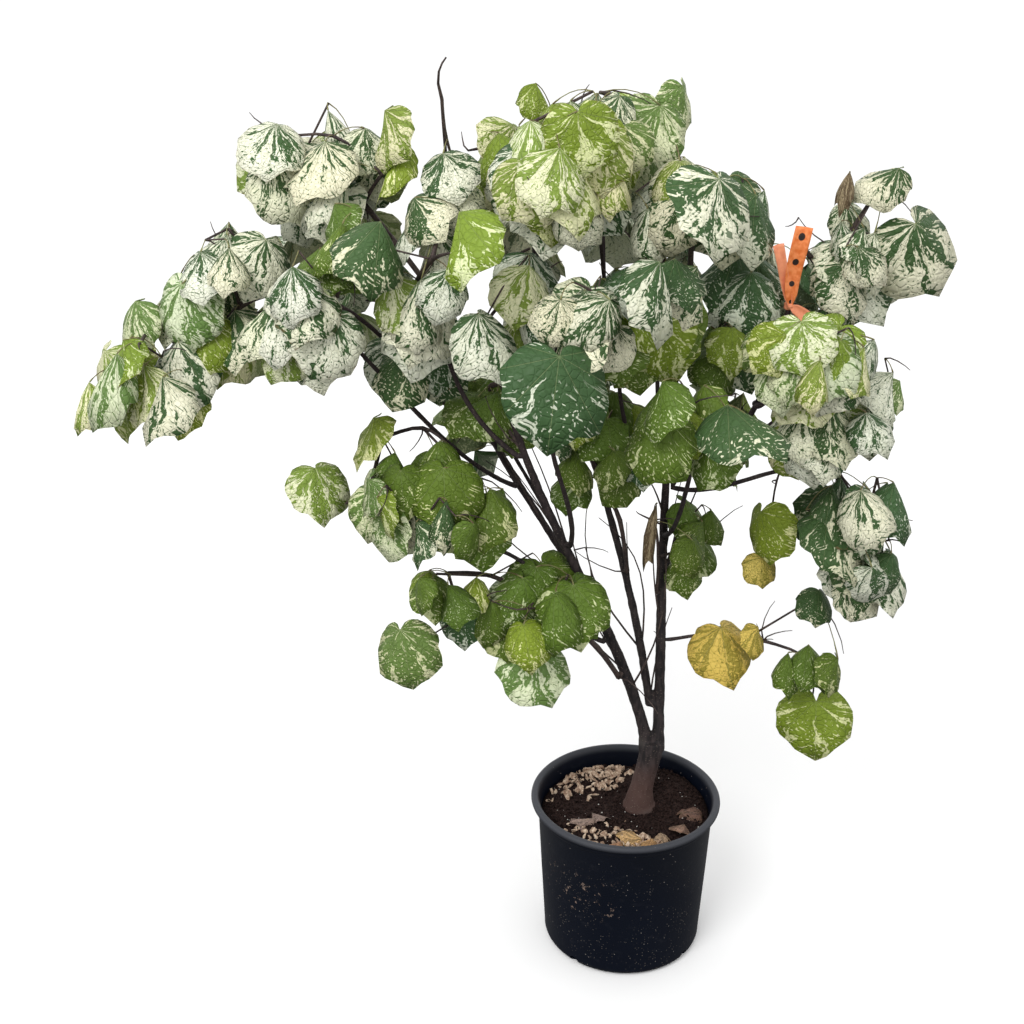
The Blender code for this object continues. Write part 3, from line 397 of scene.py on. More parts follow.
def trunk_route():
    """The trunk leans, but both of its ends are level."""
    rise = TRUNK_TOP - TRUNK_FOOT
    shape = (
        (0.0, TRUNK_FOOT_RADIUS),
        (LEVEL_END, 0.6 * TRUNK_FOOT_RADIUS + 0.4 * TRUNK_RADIUS),
        (0.25, TRUNK_RADIUS * 1.08),
        (0.50, TRUNK_RADIUS),
        (0.75, TRUNK_RADIUS * 1.02),
        (1 - LEVEL_END, TRUNK_TOP_RADIUS),
        (1.0, TRUNK_TOP_RADIUS),
    )
    route = []
    for share, radius in shape:
        lean = min(max((share - LEVEL_END) / (1 - 2 * LEVEL_END), 0.0), 1.0)
        sideways = lean * lean * (3 - 2 * lean)
        point = TRUNK_FOOT + Vector((rise.x * sideways, rise.y * sideways, rise.z * share))
        route.append((point, radius))
    return route


def limb_route(limb, routes, step=LIMB_STEP):
    """Points and radii along a limb: straight out of its parent, then one smooth curve to its tip."""
    leave, tip = direction(limb.leave), Vector(limb.tip)
    if limb.parent == "trunk":
        side = math.copysign(STEM_SPACING, leave.x)
        start, out = TRUNK_TOP + Vector((side, 0, GAP)), UP
    else:
        start, out = side_start(routes[limb.parent], limb.along, leave)
    first = start + out * COLLAR
    reach = (tip - first).length
    handle = reach * CURVE_HANDLE
    steps = max(3, round(reach / step))
    thick, thin = limb.radii
    route = [(start, thick)]
    for i in range(steps + 1):
        share = i / steps
        point = bezier(
            first, first + leave * handle, tip - direction(limb.arrive) * handle, tip, share
        )
        route.append((point, thick + (thin - thick) * share))
    return route


ROUTES = {"trunk": trunk_route()}
for name, limb in LIMBS.items():
    ROUTES[name] = limb_route(limb, ROUTES)
print(len(ROUTES), "limbs")

# %% [markdown]
# ## Bark
# Young bark of this tree is smooth and nearly black, with small pale pores, and redder where the
# trunk swells above the soil. Each limb is a ring that is drawn along its route. The trunk and
# the heavy limbs are then fused by a voxel remesh, because their forks flow into each other, and
# relaxed so that the voxels don't show. The slim boughs only sink their feet into them.

# %% Draw the limbs
FINE_STEP = 0.007
FUSED_LIMBS = ("trunk", "left_stem", "right_stem", "left_outer_bough", "centre_bough")
BARK_VOXEL = 0.0015
BARK_RELIEF = 0.0007


def frames(path):
    """A matrix for each point of a path: its Z axis runs along the path, and it never twists."""
    found = []
    across = direction(path[1] - path[0]).orthogonal()
    for i, point in enumerate(path):
        ahead = direction(path[min(i + 1, len(path) - 1)] - path[max(i - 1, 0)])
        across = direction(across - ahead * across.dot(ahead))
        turn = Matrix((across, ahead.cross(across), ahead)).transposed()
        found.append(Matrix.Translation(point) @ turn.to_4x4())
    return found


def drawn_tube(bm, path, radii, sides):
    """Draws a ring along a path by extruding it from point to point, and closes both ends."""
    places = [frame @ Matrix.Scale(r, 4) for frame, r in zip(frames(path), radii)]
    start = bmesh.ops.create_circle(bm, segments=sides, radius=1.0, matrix=places[0])
    ring = start["verts"]
    edges = list({edge for vert in ring for edge in vert.link_edges})
    faces = [bmesh.ops.contextual_create(bm, geom=edges)["faces"][0]]
    for before, after in zip(places, places[1:]):
        new = bmesh.ops.extrude_edge_only(bm, edges=edges)["geom"]
        ring = [g for g in new if isinstance(g, bmesh.types.BMVert)]
        edges = [g for g in new if isinstance(g, bmesh.types.BMEdge)]
        bmesh.ops.transform(bm, matrix=after @ before.inverted(), verts=ring)
    faces += bmesh.ops.contextual_create(bm, geom=edges)["faces"]
    return faces


def fine_route(name):
    """A limb's route in small steps, with its foot sunk into its parent and flared."""
    if name == "trunk":
        coarse = ROUTES["trunk"]
        points, radii = [], []
        for i in range(41):
            place = i / 40 * (len(coarse) - 1)
            low = min(int(place), len(coarse) - 2)
            (a, thick_a), (b, thick_b) = coarse[low], coarse[low + 1]
            points.append(a.lerp(b, place - low))
            radii.append(thick_a + (thick_b - thick_a) * (place - low))
        points[0] -= UP * 0.012
        return points, radii
    limb = LIMBS[name]
    route = limb_route(limb, ROUTES, FINE_STEP)
    points = [p for p, _ in route]
    radii = [r for _, r in route]
    out = direction(points[1] - points[0])
    sunk = ROUTES[limb.parent][-1][1] if limb.parent == "trunk" else radii[0]
    points.insert(0, points[0] - out * sunk * 0.9)
    radii.insert(0, radii[0] * 1.25)
    for i in range(1, 5):
        radii[i] *= 1 + 0.22 * (5 - i) / 5
    return points, radii


def bark_relief(bm, strength):
    """Moves the skin in and out a little: long shallow ripples up the limb, and small knots."""
    bm.normal_update()
    for vert in bm.verts:
        spot = Vector((vert.co.x * 1.0, vert.co.y * 1.0, vert.co.z * 0.35))
        ripple = noise.noise(spot * 260.0) * 0.6 + noise.noise(vert.co * 70.0)
        vert.co += vert.normal * ripple * strength


def bark_finish():
    bark = Finish("bark", (0.045, 0.03, 0.028), 0.3)
    place = bark.place()
    x, y, z = bark.parts(place)
    streaks = bark.noise(bark.vector(x, y, z * 0.25), 220.0, 3.0)
    clouds = bark.noise(place, 26.0, 3.0)
    pores = 1 - bark.step(bark.cells(bark.vector(x, y, z * 1.6), 190.0), 0.10, 0.26)
    foot = 1 - bark.step(z + clouds * 0.05, 0.27, 0.345)
    young = bark.step(z, 0.55, 1.0)
    colour = bark.blend(bark.step(streaks, 0.35, 0.7), (0.012, 0.010, 0.011), (0.040, 0.030, 0.030))
    colour = bark.blend(young * 0.45, colour, (0.045, 0.026, 0.026))
    colour = bark.blend(foot * 0.75, colour, (0.085, 0.045, 0.036))
    dusty = bark.step(clouds, 0.58, 0.78)
    colour = bark.blend(dusty * 0.35, colour, (0.11, 0.095, 0.085))
    colour = bark.blend(pores * 0.5, colour, (0.19, 0.15, 0.12))
    height = streaks * 0.7 + pores * 0.6 + clouds * 0.3
    return bark.surface(colour, 0.62 + clouds * 0.25, height, 0.0012)


bark = bark_finish()
bm = bmesh.new()
for name in FUSED_LIMBS:
    points, radii = fine_route(name)
    drawn_tube(bm, points, radii, 14)
bmesh.ops.recalc_face_normals(bm, faces=bm.faces)
blank = new_object("fused_limbs", bm)
melt = blank.modifiers.new("Melt together", "REMESH")
melt.mode = "VOXEL"
melt.voxel_size = BARK_VOXEL
graph = bpy.context.evaluated_depsgraph_get()
bm = bmesh.new()
bm.from_object(blank, graph)
bpy.data.objects.remove(blank)
for _ in range(4):
    bmesh.ops.smooth_vert(bm, verts=bm.verts, factor=0.5, use_axis_x=True, use_axis_y=True, use_axis_z=True)
bark_relief(bm, BARK_RELIEF)
for face in bm.faces:
    face.smooth = True
stems = new_object("stems_bark", bm, bark)
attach(stems, "root")
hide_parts(*FUSED_LIMBS)
print("stems_bark", len(stems.data.polygons), "faces")

bm = bmesh.new()
slim = [name for name in ROUTES if name not in FUSED_LIMBS]
for name in slim:
    points, radii = fine_route(name)
    drawn_tube(bm, points, radii, 10)
bmesh.ops.recalc_face_normals(bm, faces=bm.faces)
bark_relief(bm, BARK_RELIEF * 0.6)
for face in bm.faces:
    face.smooth = True
boughs = new_object("boughs_bark", bm, bark)
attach(boughs, "root")
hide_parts(*slim)
print("boughs_bark", len(boughs.data.polygons), "faces")

# %% [markdown]
# ## Where the leaves hang
# Each mass of foliage keeps to its own share of the crown: a point belongs to whichever seed is
# nearest, after the seed's weight. A leaf is tried at random places in its spray and is kept
# where it fits: in its own share, clear of limbs and twigs, and not through another leaf. The
# random numbers are seeded, so every run gives the same tree.

# %% Plan the sprays
Leaf = namedtuple("Leaf", "place normal tip length tint")
Spray = namedtuple("Spray", "centre radii leaves size face tint")
FRONT = (0, -1, 0.35)
LEFT = (-0.6, -0.8, 0.3)
RIGHT = (0.5, -0.9, 0.3)
SKY = (0, -0.25, 1)
OUT = None

# Each mass: the limb its stem grows from, the share of that limb's length, the seed, the sprays
MASSES = {
    "far_left_foliage": ("far_left_bough", 1, 11, (
        Spray((-0.655, -0.06, 0.905), (0.06, 0.05, 0.035), 6, 0.092, LEFT, "lime"),
        Spray((-0.565, 0.0, 0.985), (0.058, 0.06, 0.052), 7, 0.090, LEFT, "pale"),
        Spray((-0.665, 0.0, 0.968), (0.008, 0.01, 0.008), 1, 0.078, LEFT, "pale"),
        Spray((-0.53, -0.02, 1.065), (0.04, 0.04, 0.02), 3, 0.088, FRONT, "white"),
    )),
    "left_front_foliage": ("left_front_bough", 1, 12, (
        Spray((-0.415, -0.12, 1.012), (0.05, 0.04, 0.045), 7, 0.085, FRONT, "white"),
        Spray((-0.375, -0.09, 1.09), (0.04, 0.03, 0.03), 3, 0.080, FRONT, "green"),
    )),
    "upper_left_foliage": ("left_outer_bough", 1, 13, (
        Spray((-0.42, 0.05, 1.155), (0.065, 0.05, 0.055), 9, 0.092, FRONT, "white"),
        Spray((-0.325, -0.02, 1.185), (0.02, 0.02, 0.03), 3, 0.098, LEFT, "lime"),
    )),
    "left_mid_foliage": ("left_mid_bough", 1, 14, (
        Spray((-0.285, -0.10, 1.055), (0.06, 0.05, 0.06), 8, 0.092, FRONT, "white"),
        Spray((-0.235, -0.19, 1.125), (0.01, 0.01, 0.01), 1, 0.090, FRONT, "lime"),
        Spray((-0.335, -0.15, 1.10), (0.012, 0.01, 0.01), 1, 0.105, FRONT, "dark"),
        Spray((-0.258, -0.04, 1.16), (0.035, 0.03, 0.04), 4, 0.085, FRONT, "white"),
        Spray((-0.315, -0.03, 0.92), (0.05, 0.04, 0.035), 4, 0.085, FRONT, "dark"),
        Spray((-0.25, -0.06, 1.316), (0.005, 0.005, 0.005), 0, 0.0, OUT, "bare"),
    )),
    "centre_left_foliage": ("left_stem", 1, 15, (
        Spray((-0.21, -0.17, 1.0), (0.02, 0.02, 0.02), 2, 0.098, FRONT, "white"),
        Spray((-0.16, -0.08, 1.03), (0.045, 0.05, 0.05), 5, 0.085, FRONT, "white"),
    )),
    "front_foliage": ("front_bough", 1, 16, (
        Spray((-0.12, -0.28, 0.968), (0.006, 0.006, 0.006), 1, 0.108, FRONT, "dark"),
        Spray((-0.085, -0.20, 1.03), (0.035, 0.03, 0.035), 4, 0.084, FRONT, "white"),
    )),
    "top_left_foliage": ("centre_bough", 1, 17, (
        Spray((-0.16, 0.0, 1.165), (0.05, 0.05, 0.042), 6, 0.090, FRONT, "cream"),
        Spray((-0.11, -0.10, 1.175), (0.06, 0.05, 0.058), 9, 0.092, FRONT, "cream"),
        Spray((-0.13, 0.02, 1.252), (0.008, 0.008, 0.008), 1, 0.056, FRONT, "lime"),
    )),
    "top_foliage": ("top_bough", 1, 18, (
        Spray((-0.05, 0.02, 1.205), (0.065, 0.05, 0.035), 9, 0.080, FRONT, "lime"),
        Spray((0.045, 0.05, 1.245), (0.005, 0.005, 0.005), 1, 0.062, RIGHT, "pale"),
    )),
    "right_upper_foliage": ("right_stem", 1, 19, (
        Spray((0.07, -0.15, 1.15), (0.006, 0.006, 0.006), 1, 0.108, FRONT, "white"),
        Spray((0.03, -0.05, 1.12), (0.055, 0.05, 0.05), 7, 0.088, FRONT, "white"),
        Spray((0.12, -0.01, 1.10), (0.03, 0.04, 0.04), 4, 0.085, RIGHT, "dark"),
    )),
    "middle_foliage": ("middle_bough", 1, 21, (
        Spray((-0.03, -0.07, 0.985), (0.06, 0.07, 0.06), 9, 0.088, FRONT, "green"),
        Spray((0.015, -0.14, 1.05), (0.04, 0.03, 0.03), 3, 0.085, FRONT, "dark"),
        Spray((0.0, -0.22, 1.07), (0.006, 0.006, 0.006), 1, 0.108, FRONT, "white"),
    )),
    "flat_right_foliage": ("flat_right_bough", 1, 22, (
        Spray((0.11, -0.235, 0.925), (0.02, 0.015, 0.012), 1, 0.105, SKY, "dark"),
        Spray((0.03, -0.17, 0.89), (0.045, 0.035, 0.04), 5, 0.085, FRONT, "green"),
    )),
    "right_back_foliage": ("right_bough", 0.74, 23, (
        Spray((0.135, 0.01, 1.02), (0.045, 0.04, 0.05), 6, 0.088, FRONT, "dark"),
        Spray((0.117, -0.02, 0.94), (0.035, 0.04, 0.03), 3, 0.082, FRONT, "green"),
    )),
    "right_tip_foliage": ("right_bough", 1, 24, (
        Spray((0.27, 0.015, 1.045), (0.034, 0.045, 0.048), 7, 0.080, RIGHT, "white"),
        Spray((0.292, 0.0, 1.158), (0.012, 0.01, 0.01), 1, 0.075, FRONT, "white"),
        Spray((0.255, 0.0, 1.150), (0.005, 0.005, 0.005), 1, 0.050, FRONT, "brown"),
        Spray((0.358, 0.0, 1.07), (0.005, 0.005, 0.005), 1, 0.098, FRONT, "white"),
    )),
    "right_shelf_foliage": ("right_shelf_bough", 1, 25, (
        Spray((0.19, -0.12, 0.955), (0.058, 0.045, 0.035), 8, 0.082, FRONT, "lime"),
    )),
    "right_lower_foliage": ("right_lower_bough", 1, 26, (
        Spray((0.235, -0.06, 0.875), (0.068, 0.06, 0.058), 10, 0.086, RIGHT, "white"),
        Spray((0.338, -0.03, 0.885), (0.006, 0.006, 0.006), 1, 0.052, FRONT, "pale"),
        Spray((0.170, -0.06, 0.705), (0.006, 0.006, 0.006), 1, 0.070, FRONT, "lime"),
        Spray((0.172, -0.06, 0.640), (0.006, 0.006, 0.006), 1, 0.050, FRONT, "yellow"),
    )),
    "right_hang_foliage": ("right_hang_bough", 1, 27, (
        Spray((0.278, -0.08, 0.735), (0.05, 0.05, 0.045), 6, 0.092, RIGHT, "dark"),
        Spray((0.310, -0.08, 0.655), (0.038, 0.045, 0.035), 4, 0.092, RIGHT, "dark"),
    )),
    "low_right_foliage": ("right_stem", 0.31, 28, (
        Spray((0.248, -0.05, 0.485), (0.03, 0.015, 0.015), 3, 0.066, FRONT, "green"),
        Spray((0.264, -0.05, 0.395), (0.008, 0.01, 0.008), 1, 0.100, FRONT, "lime"),
        Spray((0.132, -0.04, 0.507), (0.005, 0.005, 0.005), 1, 0.078, FRONT, "yellow"),
        Spray((0.176, -0.04, 0.522), (0.005, 0.005, 0.005), 1, 0.048, FRONT, "yellow"),
        Spray((0.25, -0.05, 0.59), (0.005, 0.005, 0.005), 1, 0.058, FRONT, "dark"),
    )),
    "low_left_foliage": ("low_left_bough", 1, 29, (
        Spray((-0.255, -0.08, 0.74), (0.07, 0.065, 0.065), 10, 0.085, FRONT, "green"),
        Spray((-0.33, -0.09, 0.74), (0.03, 0.03, 0.04), 3, 0.075, LEFT, "pale"),
        Spray((-0.43, -0.05, 0.735), (0.02, 0.02, 0.025), 2, 0.082, LEFT, "pale"),
        Spray((-0.355, -0.03, 0.836), (0.02, 0.02, 0.015), 2, 0.080, LEFT, "pale"),
        Spray((-0.29, -0.05, 0.845), (0.015, 0.02, 0.012), 1, 0.078, FRONT, "green"),
    )),
    "low_middle_foliage": ("left_stem", 0.30, 31, (
        Spray((-0.128, -0.10, 0.608), (0.062, 0.05, 0.04), 6, 0.082, FRONT, "green"),
        Spray((-0.135, -0.12, 0.525), (0.006, 0.006, 0.006), 1, 0.085, FRONT, "pale"),
        Spray((-0.262, -0.10, 0.655), (0.045, 0.04, 0.025), 4, 0.074, FRONT, "green"),
        Spray((-0.240, -0.10, 0.582), (0.006, 0.006, 0.006), 1, 0.055, FRONT, "dark"),
        Spray((-0.314, -0.15, 0.56), (0.005, 0.005, 0.005), 1, 0.075, FRONT, "pale"),
    )),
    "inner_foliage": ("centre_bough", 0.45, 32, (
        Spray((-0.05, 0.01, 0.79), (0.06, 0.05, 0.055), 7, 0.072, FRONT, "green"),
    )),
    "inner_left_foliage": ("left_stem", 0.90, 33, (
        Spray((-0.20, -0.01, 0.85), (0.04, 0.035, 0.035), 4, 0.072, FRONT, "green"),
    )),
    "stem_side_foliage": ("right_stem", 0.41, 34, (
        Spray((0.022, -0.03, 0.70), (0.02, 0.02, 0.03), 2, 0.080, FRONT, "brown"),
        Spray((0.085, 0.0, 0.66), (0.03, 0.035, 0.05), 4, 0.074, FRONT, "green"),
    )),
    "back_left_foliage": ("back_left_bough", 1, 35, (
        Spray((-0.45, 0.22, 0.985), (0.08, 0.07, 0.07), 7, 0.092, OUT, "white"),
        Spray((-0.585, 0.12, 0.925), (0.05, 0.05, 0.04), 4, 0.090, OUT, "lime"),
    )),
    "back_low_left_foliage": ("back_low_left_bough", 1, 36, (
        Spray((-0.23, 0.24, 0.77), (0.065, 0.06, 0.06), 6, 0.086, OUT, "green"),
    )),
    "back_centre_foliage": ("back_centre_bough", 1, 37, (
        Spray((-0.20, 0.28, 1.045), (0.085, 0.06, 0.06), 8, 0.092, OUT, "white"),
    )),
    "back_top_foliage": ("back_top_bough", 1, 38, (
        Spray((-0.06, 0.17, 1.165), (0.07, 0.06, 0.045), 8, 0.088, OUT, "cream"),
    )),
    "back_mid_foliage": ("back_mid_bough", 1, 39, (
        Spray((0.05, 0.28, 1.02), (0.08, 0.06, 0.07), 7, 0.092, OUT, "white"),
    )),
    "back_right_foliage": ("back_right_bough", 1, 40, (
        Spray((0.235, 0.20, 0.95), (0.07, 0.07, 0.07), 7, 0.090, OUT, "dark"),
    )),
    "back_low_right_foliage": ("back_low_right_bough", 1, 41, (
        Spray((0.15, 0.21, 0.75), (0.05, 0.05, 0.05), 6, 0.082, OUT, "green"),
    )),
}
print(len(MASSES), "masses,", sum(s.leaves for m in MASSES.values() for s in m[3]), "leaves planned")

# %% Share the crown out
SPRAY_SHARE = 0.035
TWIG_SHARE = 0.035
TWIG_MARGIN = 0.0045
TWIG_ARCH = 0.10
TWIG_STEP = 0.07
HUB_BACK = 0.03
TAPE_SHARE = 0.84
TAPE_MIDDLE = Vector((0.207, -0.045, 1.055))
TAPE_OPENING = Vector((-0.19, -0.95, 0.22))
TAPE_GAP = 0.05
TAPE_GAP_STEP = 0.04
TAPE_GAP_STEPS = 5


class Space:
    """Each seed holds the points that are nearer to it than to any other mass's seed, after its
    weight, so its share is convex and no two masses can meet."""

    def __init__(self):
        self.places, self.weights, self.owners = [], [], []

    def add(self, owner, place, radius):
        self.places.append(tuple(place))
        self.weights.append(radius**2)
        self.owners.append(owner)

    def close(self):
        """Works out the wall between each seed of an owner and each seed of another, once."""
        places, weights = np.array(self.places), np.array(self.weights)
        owners = np.array(self.owners)
        self.walls = {}
        for owner in set(self.owners):
            own, foreign = owners == owner, owners != owner
            away = places[own][:, None] - places[foreign]
            apart = np.linalg.norm(away, axis=2)
            power = (places**2).sum(1) - weights
            offset = (power[foreign] - power[own][:, None]) / (2 * apart)
            self.walls[owner] = away / apart[..., None], offset

    def holds(self, points, owner, margin):
        """Whether each point lies in some share of the owner's, clear of its walls by the margin."""
        normals, offset = self.walls[owner]
        clear = np.einsum("pc,ofc->pof", np.array([tuple(p) for p in points]), normals) + offset
        return bool((clear > margin).all(2).any(1).all())


def hub_of(spray):
    """Where a spray's twigs spread from: behind its leaves."""
    centre = Vector(spray.centre)
    return centre - direction(spray.face) * HUB_BACK if spray.face and spray.leaves else centre


def stem_start(route, share, sprays):
    """Where a mass's stem begins: on from the limb's tip, or straight out of its side."""
    if share == 1:
        (before, _), (tip, _) = route[-2:]
        heading = direction(tip - before)
        return tip + heading * GAP, heading
    return side_start(route, share, Vector(sprays[0].centre) - route[-1][0].lerp(route[0][0], 1 - share))


def arched(start, goal, arch):
    """Points along a twig that rises a little between its ends."""
    way = goal - start
    steps = max(1, round(way.length / TWIG_STEP))
    bend = UP * arch * way.length
    shares = [i / steps for i in range(steps + 1)]
    return [start + way * share + bend * 4 * share * (1 - share) for share in shares]


SPACE = Space()
for name, (limb, share, _, sprays) in MASSES.items():
    root, heading = stem_start(ROUTES[limb], share, sprays)
    reached = [root + heading * COLLAR]
    for spray in sprays:
        SPACE.add(name, spray.centre, sum(spray.radii) / 3 + SPRAY_SHARE)
        hub = hub_of(spray)
        start = min(reached, key=lambda point: (point - hub).length)
        way = arched(start, hub, TWIG_ARCH)
        reached += way[1:]
        for point in way:
            SPACE.add(name, point, TWIG_SHARE)
for step in range(TAPE_GAP_STEPS):
    SPACE.add("marker_tape", TAPE_MIDDLE + TAPE_OPENING * TAPE_GAP_STEP * (step + 0.5), TAPE_GAP)
SPACE.close()
print(len(SPACE.places), "seeds share the crown")

# %% Find the places of the leaves
LEAF_DOME = 0.14
LEAF_MIDDLE = 0.4
LEAF_MARGIN = 0.0012
LEAF_APART = 0.85
LEAF_TRIES = 90
LEAF_CROWDING = 0.997
LEAF_SPREAD = (0.86, 1.10)
LEAF_CORE = 1.03
FACE_LIFT = 0.35
FACE_TURN = math.radians(28)
FACE_TILT = 0.22
TIP_SWAY = math.radians(16)
CROWN_AXIS = Vector((-0.12, 0.04, 0.0))
LEAF_HALF = ((0.25, -0.15), (0.55, 0.17), (0.42, 0.62))
STALK_DROP = LEAF_DOME * (LEAF_HALF[0][0] ** 2 + (LEAF_MIDDLE - LEAF_HALF[0][1]) ** 2) * (
    LEAF_MIDDLE / (LEAF_MIDDLE - LEAF_HALF[0][1])
)


def leaf_points(leaf):
    """The middle of a leaf's blade, then its outline's corners, down one side and up the other."""
    corners = [(x, y) for x, y in LEAF_HALF] + [(0.0, 1.0)] + [(-x, y) for x, y in LEAF_HALF[::-1]]
    side = leaf.tip.cross(leaf.normal)
    crown = leaf.place + (leaf.tip * LEAF_MIDDLE + leaf.normal * STALK_DROP) * leaf.length
    points = [crown]
    for x, y in corners:
        up_blade = y - LEAF_MIDDLE
        fall = LEAF_DOME * (x * x + up_blade * up_blade)
        points.append(crown + (side * x + leaf.tip * up_blade - leaf.normal * fall) * leaf.length)
    return points


def leaf_tree(leaf, scale=1.0):
    points = leaf_points(leaf)
    points = [points[0].lerp(corner, scale) for corner in points]
    rim = len(points) - 1
    faces = [(0, i + 1, (i + 1) % rim + 1) for i in range(rim)]
    return BVHTree.FromPolygons(points, faces)


def facing(spray, place, rng):
    """The way a leaf's upper side faces: out from the crown, or the spray's own way, a little astray."""
    if spray.face is OUT:
        out = place - CROWN_AXIS
        out.z = 0.0
        base = direction(out) + UP * FACE_LIFT
    else:
        base = Vector(spray.face)
    turn = Matrix.Rotation(rng.gauss(0, FACE_TURN), 3, "Z")
    normal = turn @ direction(base)
    normal.z += rng.gauss(0, FACE_TILT)
    return direction(normal)


def place_leaves(name, spray, rng, obstacles, taken):
    """Leaves at seeded places in the spray, kept apart, in their own space and clear of every limb."""
    leaves = []
    apart = LEAF_APART * spray.size
    for _ in range(LEAF_TRIES * spray.leaves):
        if len(leaves) == spray.leaves:
            break
        apart *= LEAF_CROWDING
        out = direction([rng.gauss(0, 1) for _ in range(3)]) * rng.random() ** (1 / 3)
        middle = Vector(spray.centre) + Vector([o * r for o, r in zip(out, spray.radii)])
        normal = facing(spray, middle, rng)
        down = direction(-UP + normal * UP.dot(normal))
        tip = Matrix.Rotation(rng.gauss(0, TIP_SWAY), 3, normal) @ down
        length = spray.size * rng.uniform(*LEAF_SPREAD)
        leaf = Leaf(middle - tip * LEAF_MIDDLE * length, normal, tip, length, spray.tint)
        if any((middle - other).length < apart for other, _ in taken):
            continue
        if not SPACE.holds(leaf_points(leaf), name, LEAF_MARGIN):
            continue
        blade = leaf_tree(leaf)
        if any(solid.overlap(blade) for solid in obstacles):
            continue
        core = leaf_tree(leaf, LEAF_CORE)
        if any(core.overlap(tree) for _, tree in taken):
            continue
        taken.append((middle, core))
        leaves.append(leaf)
    return leaves


# %% [markdown]
# ## Twigs and stalks
# A twig never floats: it is led from the nearest point of the mass's own branching tree that has
# a free way to where it is needed, and every leaf hangs by a stalk from a point near it. The
# more leaves a twig feeds, the thicker it is.

# %% Grow the twigs
TWIG_TIP = 0.0011
TWIG_GROWTH = 0.42
TWIG_CHOICES = 10
SHARP_BEND = 0.35
SLEEVE = 0.004
STALK = 0.42
STALK_UP, STALK_BACK, STALK_OVER = 0.35, 0.8, 0.2
STALK_CHECKED = 0.85
STALK_SUNK = 0.2
LONGEST_STALK = 0.095
FROM_BEHIND = 0.05
LIMB_CLEARANCE = 0.002
TWIG_CHECK = 0.006
OWN = "own "
FILL_SEED = 500
FILL_FROM = 3
FILL_SHARE = 0.9
FILL_SPREAD = 1.35
FILL_SIZE = 0.82
BARE_TWIGS = 6
BARE_TWIG_LENGTH = (0.03, 0.09)
BOX_MARGIN = 0.035


def plain_tube(path, radii, sides):
    """A tapering tube of a few flat sides, as a fresh bmesh."""
    bm = bmesh.new()
    drawn_tube(bm, path, radii, sides)
    return bm


class Twigs:
    """A branching tree of points, each with its parent and the number of leaves it feeds, and the
    stalks of the leaves, each from one of the points."""

    def __init__(self, name, root, heading, obstacles):
        self.name, self.obstacles = name, obstacles
        self.blades = []
        self.points = [root, root + heading * COLLAR]
        self.parents = [None, 0]
        self.load = [0, 0]
        self.stalks = []

    def free(self, a, b, shy):
        """Whether a straight twig fits: in its own space, clear of limbs and, if shy, of blades."""
        count = max(2, math.ceil((b - a).length / TWIG_CHECK))
        samples = [a.lerp(b, i / count) for i in range(count + 1)]
        if not SPACE.holds(samples[1:], self.name, TWIG_MARGIN):
            return False
        way = b - a
        solids = [self.obstacles] + (self.blades if shy else [])
        return all(tree.ray_cast(a, direction(way), way.length)[0] is None for tree in solids)

    def add(self, point, parent):
        self.points.append(point)
        self.parents.append(parent)
        self.load.append(0)
        return len(self.points) - 1

    def nearest(self, point):
        order = range(1, len(self.points))
        return sorted(order, key=lambda i: (self.points[i] - point).length)

    def lead(self, goal, arch):
        """A twig to the goal, from whichever of the nearest points leaves a free way."""
        near_by = self.nearest(goal)[:TWIG_CHOICES]
        for shy in (True, False):
            for near in near_by:
                path = arched(self.points[near], goal, arch)
                if all(self.free(a, b, shy) for a, b in zip(path, path[1:])):
                    for point in path[1:]:
                        near = self.add(point, near)
                    return near
        return None

    def feed(self, end):
        while end is not None:
            self.load[end] += 1
            end = self.parents[end]

    def hang(self, leaf, shy):
        """A stalk that reaches the back of the blade, from a near point that allows it."""
        for near in self.nearest(leaf.place)[:TWIG_CHOICES]:
            way = leaf.place - self.points[near]
            if way.length > LONGEST_STALK or direction(way).dot(leaf.normal) < FROM_BEHIND:
                continue
            short = self.points[near] + way * STALK_CHECKED
            if self.free(self.points[near], short, shy):
                self.stalks.append((near, leaf))
                self.feed(near)
                return True
        return False

    def radius(self, i):
        return TWIG_TIP * max(1, self.load[i]) ** TWIG_GROWTH

    def sleeves(self):
        """A sleeve round every twig there is, for leaves to miss."""
        sleeves = []
        for i in range(1, len(self.points)):
            bm = plain_tube([self.points[self.parents[i]], self.points[i]], [SLEEVE, SLEEVE], 3)
            sleeves.append(BVHTree.FromBMesh(bm))
            bm.free()
        return sleeves

    def heading(self, i):
        return direction(self.points[i] - self.points[self.parents[i]])

    def chains(self):
        """Runs of points, each along the most laden way from where it starts, with no sharp bend."""
        children = {i: [] for i in range(len(self.points))}
        for i, parent in enumerate(self.parents):
            if parent is not None:
                children[parent].append(i)
        starts, chains = [(1, 0)], []
        while starts:
            at, base = starts.pop(0)
            chain = [base, at]
            while at is not None:
                on = None
                for child in sorted(children[at], key=lambda i: -self.load[i]):
                    if on is None and self.heading(child).dot(self.heading(at)) > SHARP_BEND:
                        on = child
                        chain.append(child)
                    else:
                        starts.append((child, at))
                at = on
            chains.append(chain)
        return chains


def hang_leaf(twigs, leaf, rng):
    """Hangs a leaf from a near point, or from the end of a new twig that is led up behind it."""
    if twigs.hang(leaf, True):
        return
    stalk = STALK * leaf.length * rng.uniform(0.8, 1.2)
    base = leaf.place + (UP * STALK_UP - leaf.normal * STALK_BACK - leaf.tip * STALK_OVER) * stalk
    if twigs.lead(base, TWIG_ARCH * 0.5) is None or not twigs.hang(leaf, True):
        twigs.hang(leaf, False)


